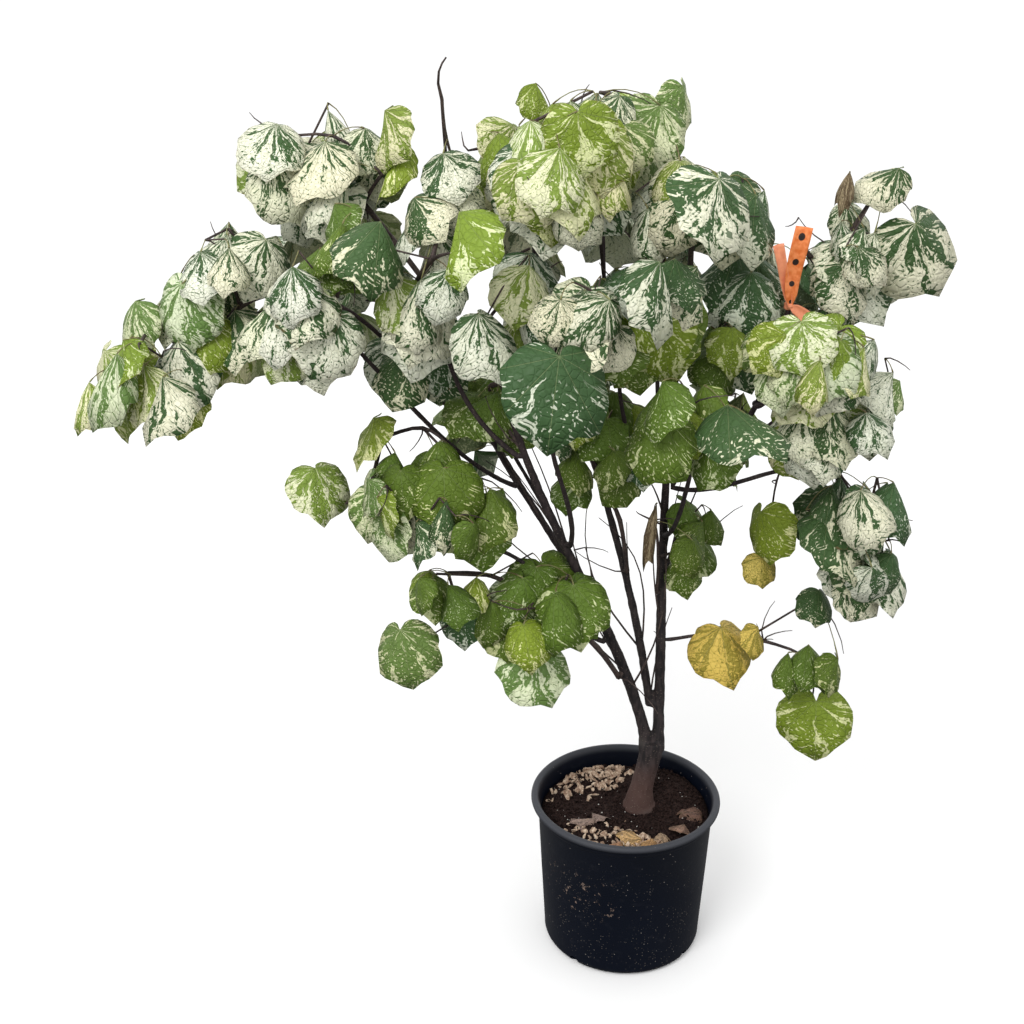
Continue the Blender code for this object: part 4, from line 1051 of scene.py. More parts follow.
def hang_spray(name, twigs, spray, hub, rng, solids, taken):
    """Hangs a spray's leaves. A leaf that is alone in its spray keeps exactly its tint."""
    placed = place_leaves(name, spray, rng, solids, taken)
    if spray.leaves == 1:
        placed = [leaf._replace(tint=OWN + leaf.tint) for leaf in placed]
    twigs.blades = [tree for _, tree in taken]
    placed.sort(key=lambda leaf: (leaf.place - hub).length)
    for leaf in placed:
        hang_leaf(twigs, leaf, rng)


def grow(name, obstacles):
    """One mass: its twigs, and the leaves that hang from them. A second round, with random
    numbers of its own, fills in with smaller leaves and fine bare twigs."""
    limb, share, seed, sprays = MASSES[name]
    rng = random.Random(seed)
    root, heading = stem_start(ROUTES[limb], share, sprays)
    twigs = Twigs(name, root, heading, obstacles)
    hubs = [twigs.lead(hub_of(spray), TWIG_ARCH) for spray in sprays]
    solids = [obstacles, *twigs.sleeves()]
    taken = []
    led = [pair for pair in zip(sprays, hubs) if pair[1] is not None]
    for spray, hub in sorted(led, key=lambda pair: pair[0].leaves):
        if spray.leaves == 0:
            twigs.feed(hub)
        hang_spray(name, twigs, spray, twigs.points[hub], rng, solids, taken)
    rng = random.Random(seed + FILL_SEED)
    for spray, hub in led:
        if spray.leaves >= FILL_FROM:
            wider = tuple(radius * FILL_SPREAD for radius in spray.radii)
            more = spray._replace(
                radii=wider, leaves=round(spray.leaves * FILL_SHARE), size=spray.size * FILL_SIZE
            )
            hang_spray(name, twigs, more, twigs.points[hub], rng, solids, taken)
    for _ in range(BARE_TWIGS):
        foot = twigs.points[rng.randrange(1, len(twigs.points))]
        way = direction([rng.gauss(0, 1), rng.gauss(0, 1), rng.gauss(0.3, 0.6)])
        end = foot + way * rng.uniform(*BARE_TWIG_LENGTH)
        if all(low + BOX_MARGIN < c < high - BOX_MARGIN for low, c, high in zip(*cad_box[:1], end, *cad_box[1:])):
            twigs.lead(end, TWIG_ARCH)
    return twigs


def clearance_tree():
    """Every limb a little thicker than it is, and the tape, for leaves and twigs to miss."""
    points, faces = [], []
    solids = [
        plain_tube([p for p, _ in route], [r + LIMB_CLEARANCE for _, r in route], 6)
        for route in ROUTES.values()
    ]
    tape = bmesh.new()
    tape.from_mesh(NODES["marker_tape"].data)
    bmesh.ops.remove_doubles(tape, verts=tape.verts, dist=0.000001)
    tape.normal_update()
    for vert in tape.verts:
        vert.co += vert.normal * LIMB_CLEARANCE
    for bm in solids + [tape]:
        base = len(points)
        bm.verts.index_update()
        points += [v.co.copy() for v in bm.verts]
        faces += [[base + v.index for v in face.verts] for face in bm.faces]
        bm.free()
    return BVHTree.FromPolygons(points, faces)


OBSTACLES = clearance_tree()
GROWN = {name: grow(name, OBSTACLES) for name in MASSES}
print(sum(len(twigs.stalks) for twigs in GROWN.values()), "leaves hang from",
      sum(len(twigs.points) for twigs in GROWN.values()), "twig points")

# %% Draw the twigs and the stalks
STALK_RADIUS = 0.0008
STALK_BEND = 0.14
TWIG_SWAY = 0.022
SWAY_SIZE = 8.5
SWAY_FROM = 0.08
SHOOTS = 5
SHOOT_LIMBS = ("left_stem", "right_stem", "left_outer_bough", "centre_bough")
SHOOT_LEAN = 0.30
SHOOT_LENGTH = (0.10, 0.26)
SHOOT_RADIUS = 0.0017
END_BOW = 0.10


def swayed(point, root):
    """Moves a twig's point a little, by a field that changes slowly over the crown, so that twigs
    that share a point stay joined. Nothing moves where the mass's stem meets its limb."""
    grip = min(1.0, (point - root).length / SWAY_FROM)
    return point + noise.noise_vector(point * SWAY_SIZE) * TWIG_SWAY * grip


def eased(points, parts):
    """Points of one smooth curve that passes through all the given ones."""
    path = []
    ends = [points[0], *points, points[-1]]
    for p0, p1, p2, p3 in zip(ends, ends[1:], ends[2:], ends[3:]):
        for k in range(parts):
            t = k / parts
            path.append(
                p1
                + (p2 - p0) * (0.5 * t)
                + (2 * p0 - 5 * p1 + 4 * p2 - p3) * (0.5 * t * t)
                + (3 * p1 - p0 - 3 * p2 + p3) * (0.5 * t**3)
            )
    return path + [points[-1]]


def bowed(path, first):
    """Bows the free end of a run sideways, from its last joint on."""
    free = path[first:]
    way = free[-1] - free[0]
    side = direction(way.cross(Vector((0.2, 1.0, 0.1))))
    for i, point in enumerate(free):
        share = i / max(1, len(free) - 1)
        path[first + i] = point + side * way.length * END_BOW * math.sin(math.pi * share**0.8)
    return path


def draw_twigs(bm, twigs, limb_radius):
    """Each run of twigs is one tube, a little thicker at its buds and drawn out at its tip."""
    held = [near for near, _ in twigs.stalks]
    held += [parent for i, parent in enumerate(twigs.parents) if twigs.parents.count(parent) > 1]
    for chain in twigs.chains():
        points = [swayed(twigs.points[i], twigs.points[0]) for i in chain]
        radii = [twigs.radius(i) for i in chain]
        if chain[0] == 0:
            radii[0] = radii[1] = min(radii[1], limb_radius)
            points[0] = points[0] - direction(points[1] - points[0]) * 0.004
        else:
            radii[0] = min(radii[0], radii[1] * 1.1)
        if twigs.load[chain[-1]] == 0:
            radii[-1] *= 0.45
        parts = 4
        thick = []
        for a, b in zip(radii, radii[1:]):
            thick += [a + (b - a) * k / parts for k in range(parts)]
            thick[-parts] *= 1.18
        joint = max(i for i, point in enumerate(chain) if i == 0 or point in held)
        drawn_tube(bm, bowed(eased(points, parts), joint * parts), thick + [radii[-1]], 6)


def draw_shoot(bm, route, rng):
    """A slender bare shoot that leaves a stem low down and rises beside it."""
    low = rng.randrange(1, max(2, round(0.6 * len(route))))
    foot, _ = route[low]
    along = direction(route[low + 1][0] - foot)
    way = direction(along + Vector((rng.gauss(0, 1), rng.gauss(0, 1), 0.5)) * SHOOT_LEAN)
    side = way.cross(Vector((rng.gauss(0, 1), rng.gauss(0, 1), 0))) * rng.uniform(0.05, 0.16)
    length = rng.uniform(*SHOOT_LENGTH)
    shares = [i / 8 for i in range(9)]
    path = [foot + (way * s + side * math.sin(2.6 * s)) * length for s in shares]
    drawn_tube(bm, path, [SHOOT_RADIUS * (1 - 0.65 * s) for s in shares], 5)


def draw_stalk(bm, foot, end, rng):
    """A thin stalk that bows up and sideways, and swells where it meets the blade."""
    way = end - foot
    side = direction(way.cross(UP) + Vector((0.001, 0, 0))) * rng.uniform(-0.7, 0.7)
    bend = (UP + side) * way.length * STALK_BEND
    shares = [0, 0.2, 0.4, 0.6, 0.8, 0.93, 1.0]
    path = [foot + way * s + bend * 4 * s * (1 - s) for s in shares]
    radii = [STALK_RADIUS * k for k in (1.3, 0.95, 0.85, 0.85, 0.9, 1.5, 1.3)]
    drawn_tube(bm, path, radii, 5)


def twig_finish(name, dark, light, colour):
    skin = Finish(name, colour, 0.3)
    place = skin.place()
    streaks = skin.noise(place, 380.0, 2.0)
    length = skin.noise(place, 34.0, 2.0)
    mixed = skin.blend(skin.step(streaks * 0.5 + length * 0.5, 0.38, 0.62), dark, light)
    return skin.surface(mixed, 0.5 + streaks * 0.3, streaks, 0.0004)


rng = random.Random(5)
twig_mesh, stalk_mesh = bmesh.new(), bmesh.new()
for name, twigs in GROWN.items():
    draw_twigs(twig_mesh, twigs, ROUTES[MASSES[name][0]][-1][1])
    for near, leaf in twigs.stalks:
        foot = swayed(twigs.points[near], twigs.points[0])
        draw_stalk(stalk_mesh, foot, leaf.place - leaf.normal * STALK_RADIUS, rng)
for limb in SHOOT_LIMBS:
    for _ in range(SHOOTS):
        draw_shoot(twig_mesh, ROUTES[limb], rng)
dark_twig = twig_finish("twig bark", (0.022, 0.015, 0.015), (0.085, 0.06, 0.052), (0.05, 0.03, 0.03))
green_stalk = twig_finish("leaf stalks", (0.12, 0.085, 0.04), (0.24, 0.25, 0.10), (0.2, 0.18, 0.08))
for name, mesh, finish, slot in (
    ("twigs", twig_mesh, dark_twig, "bark"),
    ("stalks", stalk_mesh, green_stalk, "green_leaves"),
):
    bmesh.ops.recalc_face_normals(mesh, faces=mesh.faces)
    for face in mesh.faces:
        face.smooth = True
    piece = new_object(name, mesh, finish)
    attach(piece, "root")
    print(name, len(piece.data.polygons), "faces")

# %% [markdown]
# ## Leaves
# A redbud leaf is a broad heart, about as wide as it is long, with veins that fan out from the
# end of its stalk. Here it hangs like a half-open umbrella: the stalk's end is its peak, the
# sides slope away from it, the lobes fold back behind, and the blade is pleated along its veins.
# The blank is one ray of points spun round the stalk's end. Each leaf is a copy of the blank,
# drawn out to the heart's outline and bent by its own random amounts, so no two are alike.

# %% Cut the blank of a leaf
BLADE_THICKNESS = 0.0004
RAYS = 32
RINGS = 3
OPEN_ANGLE = math.radians(156.5)
VEINS = 9
VEIN_PITCH = 2 * OPEN_ANGLE / (VEINS - 1)

# The heart's outline: the angle from the tip in degrees, and the reach in leaf lengths
HEART = (
    (0, 1.02), (5, 0.975), (12, 0.93), (25, 0.90), (40, 0.835), (55, 0.745), (70, 0.655),
    (85, 0.57), (100, 0.50), (115, 0.43), (130, 0.35), (145, 0.26), (157, 0.15),
)


def heart_reach(angle):
    """How far the blade reaches from the stalk at an angle from its tip."""
    degrees = abs(math.degrees(angle))
    for (a, near), (b, far) in zip(HEART, HEART[1:]):
        if degrees <= b:
            return near + (far - near) * (degrees - a) / (b - a)
    return HEART[-1][1]


def leaf_blank():
    """Rings and rays round the stalk's end, with the tip towards +Y."""
    bm = bmesh.new()
    ray = [bm.verts.new((0.0, i / RINGS, 0.0)) for i in range(RINGS + 1)]
    edges = [bm.edges.new(pair) for pair in zip(ray, ray[1:])]
    bmesh.ops.rotate(bm, verts=ray, cent=(0, 0, 0), matrix=Matrix.Rotation(-OPEN_ANGLE, 3, "Z"))
    bmesh.ops.spin(
        bm, geom=ray + edges, axis=UP, cent=(0, 0, 0), angle=2 * OPEN_ANGLE, steps=RAYS
    )
    bmesh.ops.remove_doubles(bm, verts=bm.verts, dist=0.0001)
    bmesh.ops.recalc_face_normals(bm, faces=bm.faces)
    if sum(face.normal.z for face in bm.faces) < 0:
        bmesh.ops.reverse_faces(bm, faces=bm.faces)
    mesh = bpy.data.meshes.new("leaf blank")
    bm.to_mesh(mesh)
    bm.free()
    return mesh


BLANK = leaf_blank()
print("a leaf has", len(BLANK.polygons), "faces on each side")

# %% [markdown]
# ## Variegation
# On the pale leaves the green starts as wedges between the veins at the stalk's end and breaks
# up into streaks and freckles further out. On the green ones it fills the blade, and the pale
# ground is left as flecks near the edge. Both are the same sum of noises, laid out by angle and
# distance from the stalk's end, cut at a different level. The level comes from the share of the
# blade that the markings should cover, so it is worked out in Python for each leaf.

# %% Mix the leaf colours
PATTERN_SPREAD = 0.078

# Each tint: the ground, the markings on it, the least and greatest share of markings, and how
# much more of them there are near the stalk's end
Tint = namedtuple("Tint", "ground marks least most inward")
TINTS = {
    "white": Tint((0.80, 0.81, 0.65), (0.048, 0.105, 0.034), 0.24, 0.50, 0.15),
    "cream": Tint((0.78, 0.79, 0.52), (0.210, 0.300, 0.050), 0.34, 0.62, 0.12),
    "pale": Tint((0.70, 0.75, 0.50), (0.130, 0.220, 0.055), 0.42, 0.68, 0.14),
    "lime": Tint((0.74, 0.79, 0.42), (0.200, 0.285, 0.028), 0.62, 0.90, 0.18),
    "green": Tint((0.62, 0.68, 0.38), (0.098, 0.165, 0.020), 0.88, 0.99, 0.14),
    "dark": Tint((0.76, 0.79, 0.62), (0.050, 0.108, 0.036), 0.70, 0.95, 0.18),
    "yellow": Tint((0.74, 0.56, 0.13), (0.36, 0.30, 0.05), 0.15, 0.45, 0.0),
    "brown": Tint((0.34, 0.26, 0.15), (0.13, 0.085, 0.045), 0.30, 0.60, 0.0),
}
# Some leaves of a spray take another tint
STRAYS = {
    "white": ("white", "white", "white", "white", "white", "cream"),
    "cream": ("cream", "cream", "cream", "white", "white", "lime"),
    "pale": ("pale", "pale", "cream", "white", "lime"),
    "lime": ("lime", "lime", "cream", "white", "pale"),
    "green": ("green", "green", "green", "green", "green", "dark", "lime"),
    "dark": ("dark", "dark", "dark", "dark", "white"),
}


def leaf_finish(name, under):
    """Wedges, streaks and freckles of markings, the veins, a fine net of small veins with painted shade in its
    creases, and darker patches at random.
    """
    leaf = Finish(name, (0.5, 0.55, 0.4), 0.22)
    x, y, ring = leaf.parts(leaf.attribute("flat"))
    level, seed, wear = leaf.parts(leaf.attribute("habit"))
    inward = leaf.attribute("inward", "Fac")
    ground, marks = leaf.attribute("ground", "Color"), leaf.attribute("marks", "Color")
    reach = leaf.maths("SQRT", x * x + y * y)
    bent = leaf.noise(leaf.vector(x * 2.0, y * 2.0, seed), 1.6, 1.0)
    angle = leaf.maths("ARCTAN2", x, y) + (bent - 0.5) * 0.5
    wedges = leaf.noise(leaf.vector(angle * 2.3, reach * 0.5, seed), 2.0, 0.0)
    streaks = leaf.noise(leaf.vector(angle * 5.2, reach * 2.6, seed + 7.0), 2.2, 1.5, 0.5)
    freckles = leaf.noise(leaf.vector(angle * 7.0, reach * 8.0, seed + 3.0), 2.2, 1.0, 0.5)
    pattern = wedges * 0.42 + streaks * 0.36 + freckles * 0.22 - (reach - 0.5) * inward
    strong = leaf.step(pattern - level, -0.003, 0.004)
    middle = leaf.step(pattern - level + (freckles - 0.5) * 0.14, -0.040, -0.030)
    colour = leaf.blend(middle * 0.22, ground, marks)
    colour = leaf.blend(strong, colour, marks)
    spots = leaf.noise(leaf.vector(angle * 9.0, y * 15.0 + x * 4.0, seed + 5.0), 2.0, 0.5)
    dark_spots = leaf.step(spots, 0.655, 0.675) * (1 - strong)
    pale_spots = leaf.step(1 - spots, 0.645, 0.665) * strong * leaf.step(reach + wedges, 0.95, 1.2)
    colour = leaf.blend(dark_spots * 0.85, colour, marks)
    colour = leaf.blend(pale_spots * 0.9, colour, ground)
    fan = leaf.maths("SINE", leaf.maths("ARCTAN2", x, y) * (math.pi / VEIN_PITCH))
    vein = 1 - leaf.step(leaf.maths("ABSOLUTE", fan) * reach, 0.008, 0.035)
    net = leaf.step(leaf.cells(leaf.vector(x, y, seed), 11.0, "DISTANCE_TO_EDGE"), 0.0, 0.16)
    lighter = leaf.blend(0.5, colour, (0.60, 0.68, 0.34))
    colour = leaf.blend(vein * 0.35, colour, lighter)
    deep = leaf.noise(leaf.vector(x * 1.6, y * 1.6, seed + 1.0), 2.2, 2.0)
    # Painted shade: the blade is darkened along the creases of the net of small veins, where its bump sinks, and
    # also in darker patches at random.
    crease_shade_and_patches = (1 - net) * 0.14 + leaf.step(deep, 0.35, 0.7) * 0.16
    colour = leaf.blend(crease_shade_and_patches, colour, leaf.blend(1.0, colour, (0.55, 0.60, 0.40), "MULTIPLY"))
    rusty = leaf.step(ring + freckles * 0.3 + wear, 1.17, 1.30)
    colour = leaf.blend(rusty * 0.75, colour, (0.24, 0.14, 0.07))
    if under:
        colour = leaf.blend(0.35, colour, (0.42, 0.48, 0.32))
    height = net * 0.5 - vein * 0.5 - streaks * 0.25
    return leaf.surface(colour, (0.62 if under else 0.46) + freckles * 0.12, height, 0.0014)


LEAF_FACE = leaf_finish("leaf upper side", False)
LEAF_UNDER = leaf_finish("leaf under side", True)

# %% Bend the leaves
SPREAD = 1.08
Bend = namedtuple("Bend", "cone droop fold lobes pleat wave twist skew phase")


def any_bend(rng, dry, open_wide):
    """How one leaf is bent. A dry one is shut like an umbrella and crumpled."""
    return Bend(
        cone=rng.uniform(1.0, 1.2) if dry else rng.uniform(0.38, 0.46 if open_wide else 0.80),
        droop=rng.uniform(0.1, 0.4) if dry else rng.uniform(-0.25, 0.25),
        fold=rng.uniform(-0.10, 0.30),
        lobes=rng.uniform(0.0, 0.5),
        pleat=rng.uniform(0.05, 0.09) if dry else rng.uniform(0.020, 0.048),
        wave=rng.uniform(0.025, 0.085),
        twist=rng.uniform(-0.14, 0.14),
        skew=rng.uniform(-0.09, 0.09),
        phase=rng.uniform(0, math.tau),
    )


def outline_point(angle, ring, bend):
    """A point of the flat blade: the heart's outline, a little lopsided and scalloped."""
    out = ring * heart_reach(angle) * (1 + bend.skew * math.sin(angle))
    ragged = 0.026 * math.sin(6 * angle + 2 * bend.phase) + 0.020 * math.sin(13 * angle + bend.phase)
    out *= 1 + (ragged + 0.020 * math.cos(math.tau * angle / VEIN_PITCH)) * ring**4
    return out * math.sin(angle), out * math.cos(angle)


def bent(leaf, x, y, bend):
    """The place in the crown of a point of the flat blade. The middle vein keeps the leaf's own
    way, and the rest slopes away from the stalk's end as on an umbrella."""
    angle, reach = math.atan2(x, y), math.hypot(x, y)
    behind = (1 - math.cos(angle)) / 2
    slope = bend.cone + bend.droop * reach + bend.fold * math.sin(angle) ** 2 + bend.lobes * behind
    lean = bend.cone + bend.droop
    lift = bend.wave * reach**3 * math.sin(3 * angle + bend.phase) + bend.twist * x * y
    lift += 0.35 * bend.wave * reach**4 * math.sin(8 * angle + 3 * bend.phase)
    lift -= bend.pleat * reach * math.cos(math.tau * angle / VEIN_PITCH)
    out, fall = reach * math.cos(slope), reach * math.sin(slope)
    side = leaf.tip.cross(leaf.normal)
    ahead = leaf.tip * math.cos(lean) + leaf.normal * math.sin(lean)
    upward = leaf.normal * math.cos(lean) - leaf.tip * math.sin(lean)
    across = side * math.sin(angle) * SPREAD + ahead * math.cos(angle)
    return leaf.place + (across * out + upward * (lift - fall)) * leaf.length


def leaf_layers(bm):
    """The attributes that the finish reads, one value at each point."""
    layers = bm.verts.layers
    return {
        "flat": layers.float_vector.new("flat"),
        "habit": layers.float_vector.new("habit"),
        "ground": layers.float_color.new("ground"),
        "marks": layers.float_color.new("marks"),
        "inward": layers.float.new("inward"),
    }


def leaf_colours(tint, rng, most):
    """One leaf's own mix: its ground and markings, the level where the pattern is cut, its seed
    and its wear. It has the greatest share of markings if most is set."""
    warmth, depth = rng.uniform(-0.03, 0.07), rng.uniform(0.88, 1.08)
    shift = Vector((1 + warmth, 1.0, 1 - warmth * 1.5)) * depth
    share = tint.most if most else rng.uniform(tint.least, tint.most)
    level = 0.5 - PATTERN_SPREAD * NormalDist().inv_cdf(share)
    return {
        "ground": (*[min(0.84, c * s) for c, s in zip(tint.ground, shift)], 1.0),
        "marks": (*[c * s for c, s in zip(tint.marks, shift)], 1.0),
        "habit": Vector((level, rng.uniform(0, 90), rng.uniform(-0.1, 0.06))),
        "inward": tint.inward * rng.uniform(0.4, 1.3),
    }


def add_leaf(bm, leaf, rng, layers):
    """Adds a copy of the blank to a mass's bmesh, bends it, and gives it its colours."""
    first, first_face = len(bm.verts), len(bm.faces)
    bm.from_mesh(BLANK)
    bm.verts.ensure_lookup_table()
    bm.faces.ensure_lookup_table()
    tint = leaf.tint.removeprefix(OWN)
    alone = tint != leaf.tint
    bend = any_bend(rng, tint == "brown", alone)
    colours = leaf_colours(TINTS[rng.choice(STRAYS.get(leaf.tint, (tint,)))], rng, alone)
    for vert in bm.verts[first:]:
        angle, ring = math.atan2(vert.co.x, vert.co.y), math.hypot(vert.co.x, vert.co.y)
        x, y = outline_point(angle, ring, bend)
        vert[layers["flat"]] = Vector((x, y, ring))
        for name, value in colours.items():
            vert[layers[name]] = value
        vert.co = bent(leaf, x, y, bend)
    for face in bm.faces[first_face:]:
        face.smooth = True
    return bm.verts[first:]


def leaf_piece(name, bm):
    """A piece of leaves, given their thickness by a Solidify modifier, with the paler finish below."""
    piece = new_object(name, bm, LEAF_FACE)
    piece.data.materials.append(LEAF_UNDER)
    thicken = piece.modifiers.new("Thickness", "SOLIDIFY")
    thicken.thickness = BLADE_THICKNESS
    thicken.offset = 0.0
    thicken.material_offset = 1
    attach(piece, "root")
    return piece


rng = random.Random(8)
faces = 0
for name, twigs in GROWN.items():
    bm = bmesh.new()
    layers = leaf_layers(bm)
    for _, leaf in twigs.stalks:
        add_leaf(bm, leaf, rng, layers)
    piece = leaf_piece(name.replace("foliage", "leaves"), bm)
    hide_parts(name)
    faces += 2 * len(piece.data.polygons)
print(len(GROWN), "leaf pieces,", faces, "faces")

# %% [markdown]
# ## Pot
# A nursery pot is one thin wall of black plastic, blown or moulded, with a rolled lip, a step
# below it, a slight taper and a rounded foot. All of it is round, so it is one profile spun about
# the middle. The drain holes at the foot are cut by a Boolean, as in the real mould.

# %% Turn the pot
POT_HEIGHT = 0.245
POT_RIM_RADIUS = 0.142
POT_NECK_RADIUS = 0.1315
POT_BASE_RADIUS = 0.1195
POT_CORNER = 0.012
POT_WALL = 0.003
POT_LIP = 0.0055
DRAIN_HOLES = 4
DRAIN_RADIUS = 0.008
DRAIN_TURN = math.radians(49)


def arc(centre, radius, start, end, steps):
    """Points of (radius, height) round part of a circle, from one angle in degrees to another."""
    angles = [math.radians(start + (end - start) * i / steps) for i in range(steps + 1)]
    return [(centre[0] + radius * math.cos(a), centre[1] + radius * math.sin(a)) for a in angles]


def spun(profile, steps):
    """A round body: a profile of (radius, height) points spun about the Z axis."""
    bm = bmesh.new()
    verts = [bm.verts.new((radius, 0.0, height)) for radius, height in profile]
    edges = [bm.edges.new(pair) for pair in zip(verts, verts[1:])]
    bmesh.ops.spin(
        bm, geom=verts + edges, axis=UP, cent=(0, 0, 0), angle=math.tau, steps=steps, use_merge=True
    )
    bmesh.ops.remove_doubles(bm, verts=bm.verts, dist=0.00001)
    bmesh.ops.recalc_face_normals(bm, faces=bm.faces)
    return bm


def pot_finish():
    """Black plastic with a blue cast, dusty low down, with crusts of dried soil on the left, and a painted
    highlight along the top of the lip.
    """
    plastic = Finish("pot plastic", (0.012, 0.014, 0.02), 0.11)
    place = plastic.place()
    x, y, z = plastic.parts(place)
    mould = plastic.noise(place, 60.0, 3.0)
    haze = plastic.noise(place, 9.0, 3.0)
    round_about = plastic.maths("ARCTAN2", x, y)
    rubbed = plastic.noise(plastic.vector(round_about * 2.0, z * 26.0, 1.0), 3.0, 3.0)
    colour = plastic.blend(haze, (0.0010, 0.0024, 0.0070), (0.0030, 0.0050, 0.0115))
    colour = plastic.blend(plastic.step(rubbed, 0.55, 0.8) * 0.35, colour, (0.018, 0.019, 0.025))
    where = plastic.step(plastic.noise(place, 22.0, 3.0, 0.6), 0.44, 0.60)
    low = 1 - plastic.step(z, 0.12, 0.22)
    grit = (1 - plastic.step(plastic.cells(place, 230.0), 0.10, 0.20)) * where * low
    motes = 1 - plastic.step(plastic.cells(plastic.vector(x, y + 3.0, z), 95.0), 0.05, 0.085)
    crust = plastic.step(plastic.noise(place, 95.0, 4.0, 0.7), 0.60, 0.66)
    left = plastic.step(0.0 - x, 0.005, 0.035) * plastic.step(0.0 - y, 0.03, 0.07)
    band = plastic.step(z, 0.095, 0.115) * (1 - plastic.step(z, 0.150, 0.185))
    smudge = crust * left * band
    colour = plastic.blend(grit * 0.5, colour, (0.30, 0.26, 0.22))
    colour = plastic.blend(motes * 0.55, colour, (0.42, 0.38, 0.34))
    colour = plastic.blend(smudge * 0.75, colour, (0.30, 0.22, 0.18))
    # Painted highlight: the top band of the rolled lip is made lighter and a little glossier.
    rim = plastic.step(z, 0.234, 0.243)
    colour = plastic.blend(rim * 0.7, colour, (0.075, 0.078, 0.088))
    roughness = 0.40 + haze * 0.16 + grit * 0.3 + smudge * 0.4 - rim * 0.06
    return plastic.surface(colour, roughness, mould * 0.4 + grit * 0.4 + smudge, 0.0010)


lip_height = POT_HEIGHT - POT_LIP
neck_height = POT_HEIGHT - 2 * POT_LIP
profile = [
    (0.0, POT_WALL),
    (POT_BASE_RADIUS - POT_CORNER, POT_WALL),
    *arc((POT_BASE_RADIUS - POT_CORNER, POT_CORNER), POT_CORNER - POT_WALL, -80, 0, 5),
    (POT_NECK_RADIUS - POT_WALL, neck_height),
    *arc((POT_RIM_RADIUS - POT_LIP, lip_height), POT_LIP, 180, -75, 16),
    (POT_RIM_RADIUS - 0.0065, neck_height - 0.001),
    (POT_RIM_RADIUS - 0.0072, neck_height - 0.007),
    (POT_NECK_RADIUS + 0.0012, neck_height - 0.010),
    (POT_NECK_RADIUS - 0.0006, neck_height - 0.0125),
    (POT_NECK_RADIUS - 0.006, 0.5 * neck_height + 0.004),
    (POT_BASE_RADIUS, POT_CORNER + 0.004),
    *arc((POT_BASE_RADIUS - POT_CORNER, POT_CORNER), POT_CORNER, 0, -90, 8),
    (POT_BASE_RADIUS - 0.030, 0.0),
    (POT_BASE_RADIUS - 0.034, 0.0016),
    (0.0, 0.0016),
]
pot = new_object("pot_shell", spun(profile, 128), pot_finish())
cutters = bmesh.new()
for hole in range(DRAIN_HOLES):
    turn = DRAIN_TURN + math.tau * hole / DRAIN_HOLES
    reach = POT_BASE_RADIUS - 0.3 * POT_CORNER
    spot = Matrix.Translation((reach * math.cos(turn), reach * math.sin(turn), 0.5 * POT_CORNER))
    spot = spot @ Matrix.Rotation(turn, 4, "Z") @ Matrix.Rotation(math.radians(115), 4, "Y")
    bmesh.ops.create_cone(
        cutters, cap_ends=True, segments=24, radius1=DRAIN_RADIUS, radius2=DRAIN_RADIUS,
        depth=4 * POT_CORNER, matrix=spot,
    )
drill = new_object("drain drill", cutters)
cut = pot.modifiers.new("Drain holes", "BOOLEAN")
cut.operation = "DIFFERENCE"
cut.object = drill
bpy.context.view_layer.update()
graph = bpy.context.evaluated_depsgraph_get()
bm = bmesh.new()
bm.from_object(pot, graph)
pot.modifiers.clear()
bpy.data.objects.remove(drill)
for face in bm.faces:
    face.smooth = True
bm.to_mesh(pot.data)
bm.free()
pot.data.set_sharp_from_angle(angle=math.radians(35))
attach(pot, "root")
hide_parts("pot")
print("pot_shell", len(pot.data.polygons), "faces")

# %% [markdown]
# ## Soil
# Potting mix is loose: dark crumbs of many sizes, white specks of perlite, tan chips of bark and
# a few fallen leaves that have dried. The bed is a spun body whose top is lumpy, and the loose
# bits are small low bodies scattered over it by a seeded rule, thicker where the chips lie.

# %% Fill the pot
SOIL_EDGE_DROP = 0.009
SOIL_FLAT_RADIUS = 0.085
CRUMBS = 1500
PERLITE = 120
CHIPS = 330


def soil_height(x, y):
    """The soil's height at a place: a low mound towards the back right, and lumps."""
    out = math.hypot(x, y)
    edge = max(0.0, (out - SOIL_FLAT_RADIUS) / (0.127 - SOIL_FLAT_RADIUS))
    mound = 0.013 * max(0.0, 1 - math.hypot(x - 0.065, y - 0.060) / 0.080) ** 0.7
    mound += 0.008 * max(0.0, 1 - math.hypot(x + 0.045, y - 0.080) / 0.050)
    lumps = noise.noise(Vector((x, y, 0)) * 55.0) * 0.0022 + noise.noise(Vector((x, y, 3)) * 150.0) * 0.0012
    return SOIL_TOP - 0.002 - SOIL_EDGE_DROP * edge**1.5 + mound + lumps


def soil_finish(name, dark, light, scale, colour):
    soil = Finish(name, colour, 0.1)
    place = soil.place()
    grains = soil.noise(place, scale, 4.0, 0.65)
    mixed = soil.blend(soil.step(grains, 0.35, 0.7), dark, light)
    return soil.surface(mixed, 0.85 + grains * 0.1, grains, 0.0015)


def lumps(name, count, place_of, size_of, finish, rng, flat=0.7):
    """Scatters small uneven bodies. The place and the size of each come from seeded rules."""
    bm = bmesh.new()
    for _ in range(count):
        x, y = place_of(rng)
        size = size_of(rng)
        turn = Matrix.Rotation(rng.uniform(0, math.tau), 4, (rng.gauss(0, 1), rng.gauss(0, 1), rng.gauss(0, 1)))
        stretch = Matrix.Diagonal((size * rng.uniform(0.7, 1.5), size, size * flat, 1.0))
        spot = Matrix.Translation((x, y, soil_height(x, y) + size * 0.25)) @ turn @ stretch
        made = bmesh.ops.create_icosphere(bm, subdivisions=1, radius=1.0, matrix=spot)["verts"]
        for vert in made:
            vert.co += Vector([rng.uniform(-0.25, 0.25) for _ in range(3)]) * size
    bmesh.ops.recalc_face_normals(bm, faces=bm.faces)
    return new_object(name, bm, finish)


def anywhere(rng):
    while True:
        x, y = rng.uniform(-0.12, 0.12), rng.uniform(-0.12, 0.12)
        if math.hypot(x, y) < 0.121:
            return x, y


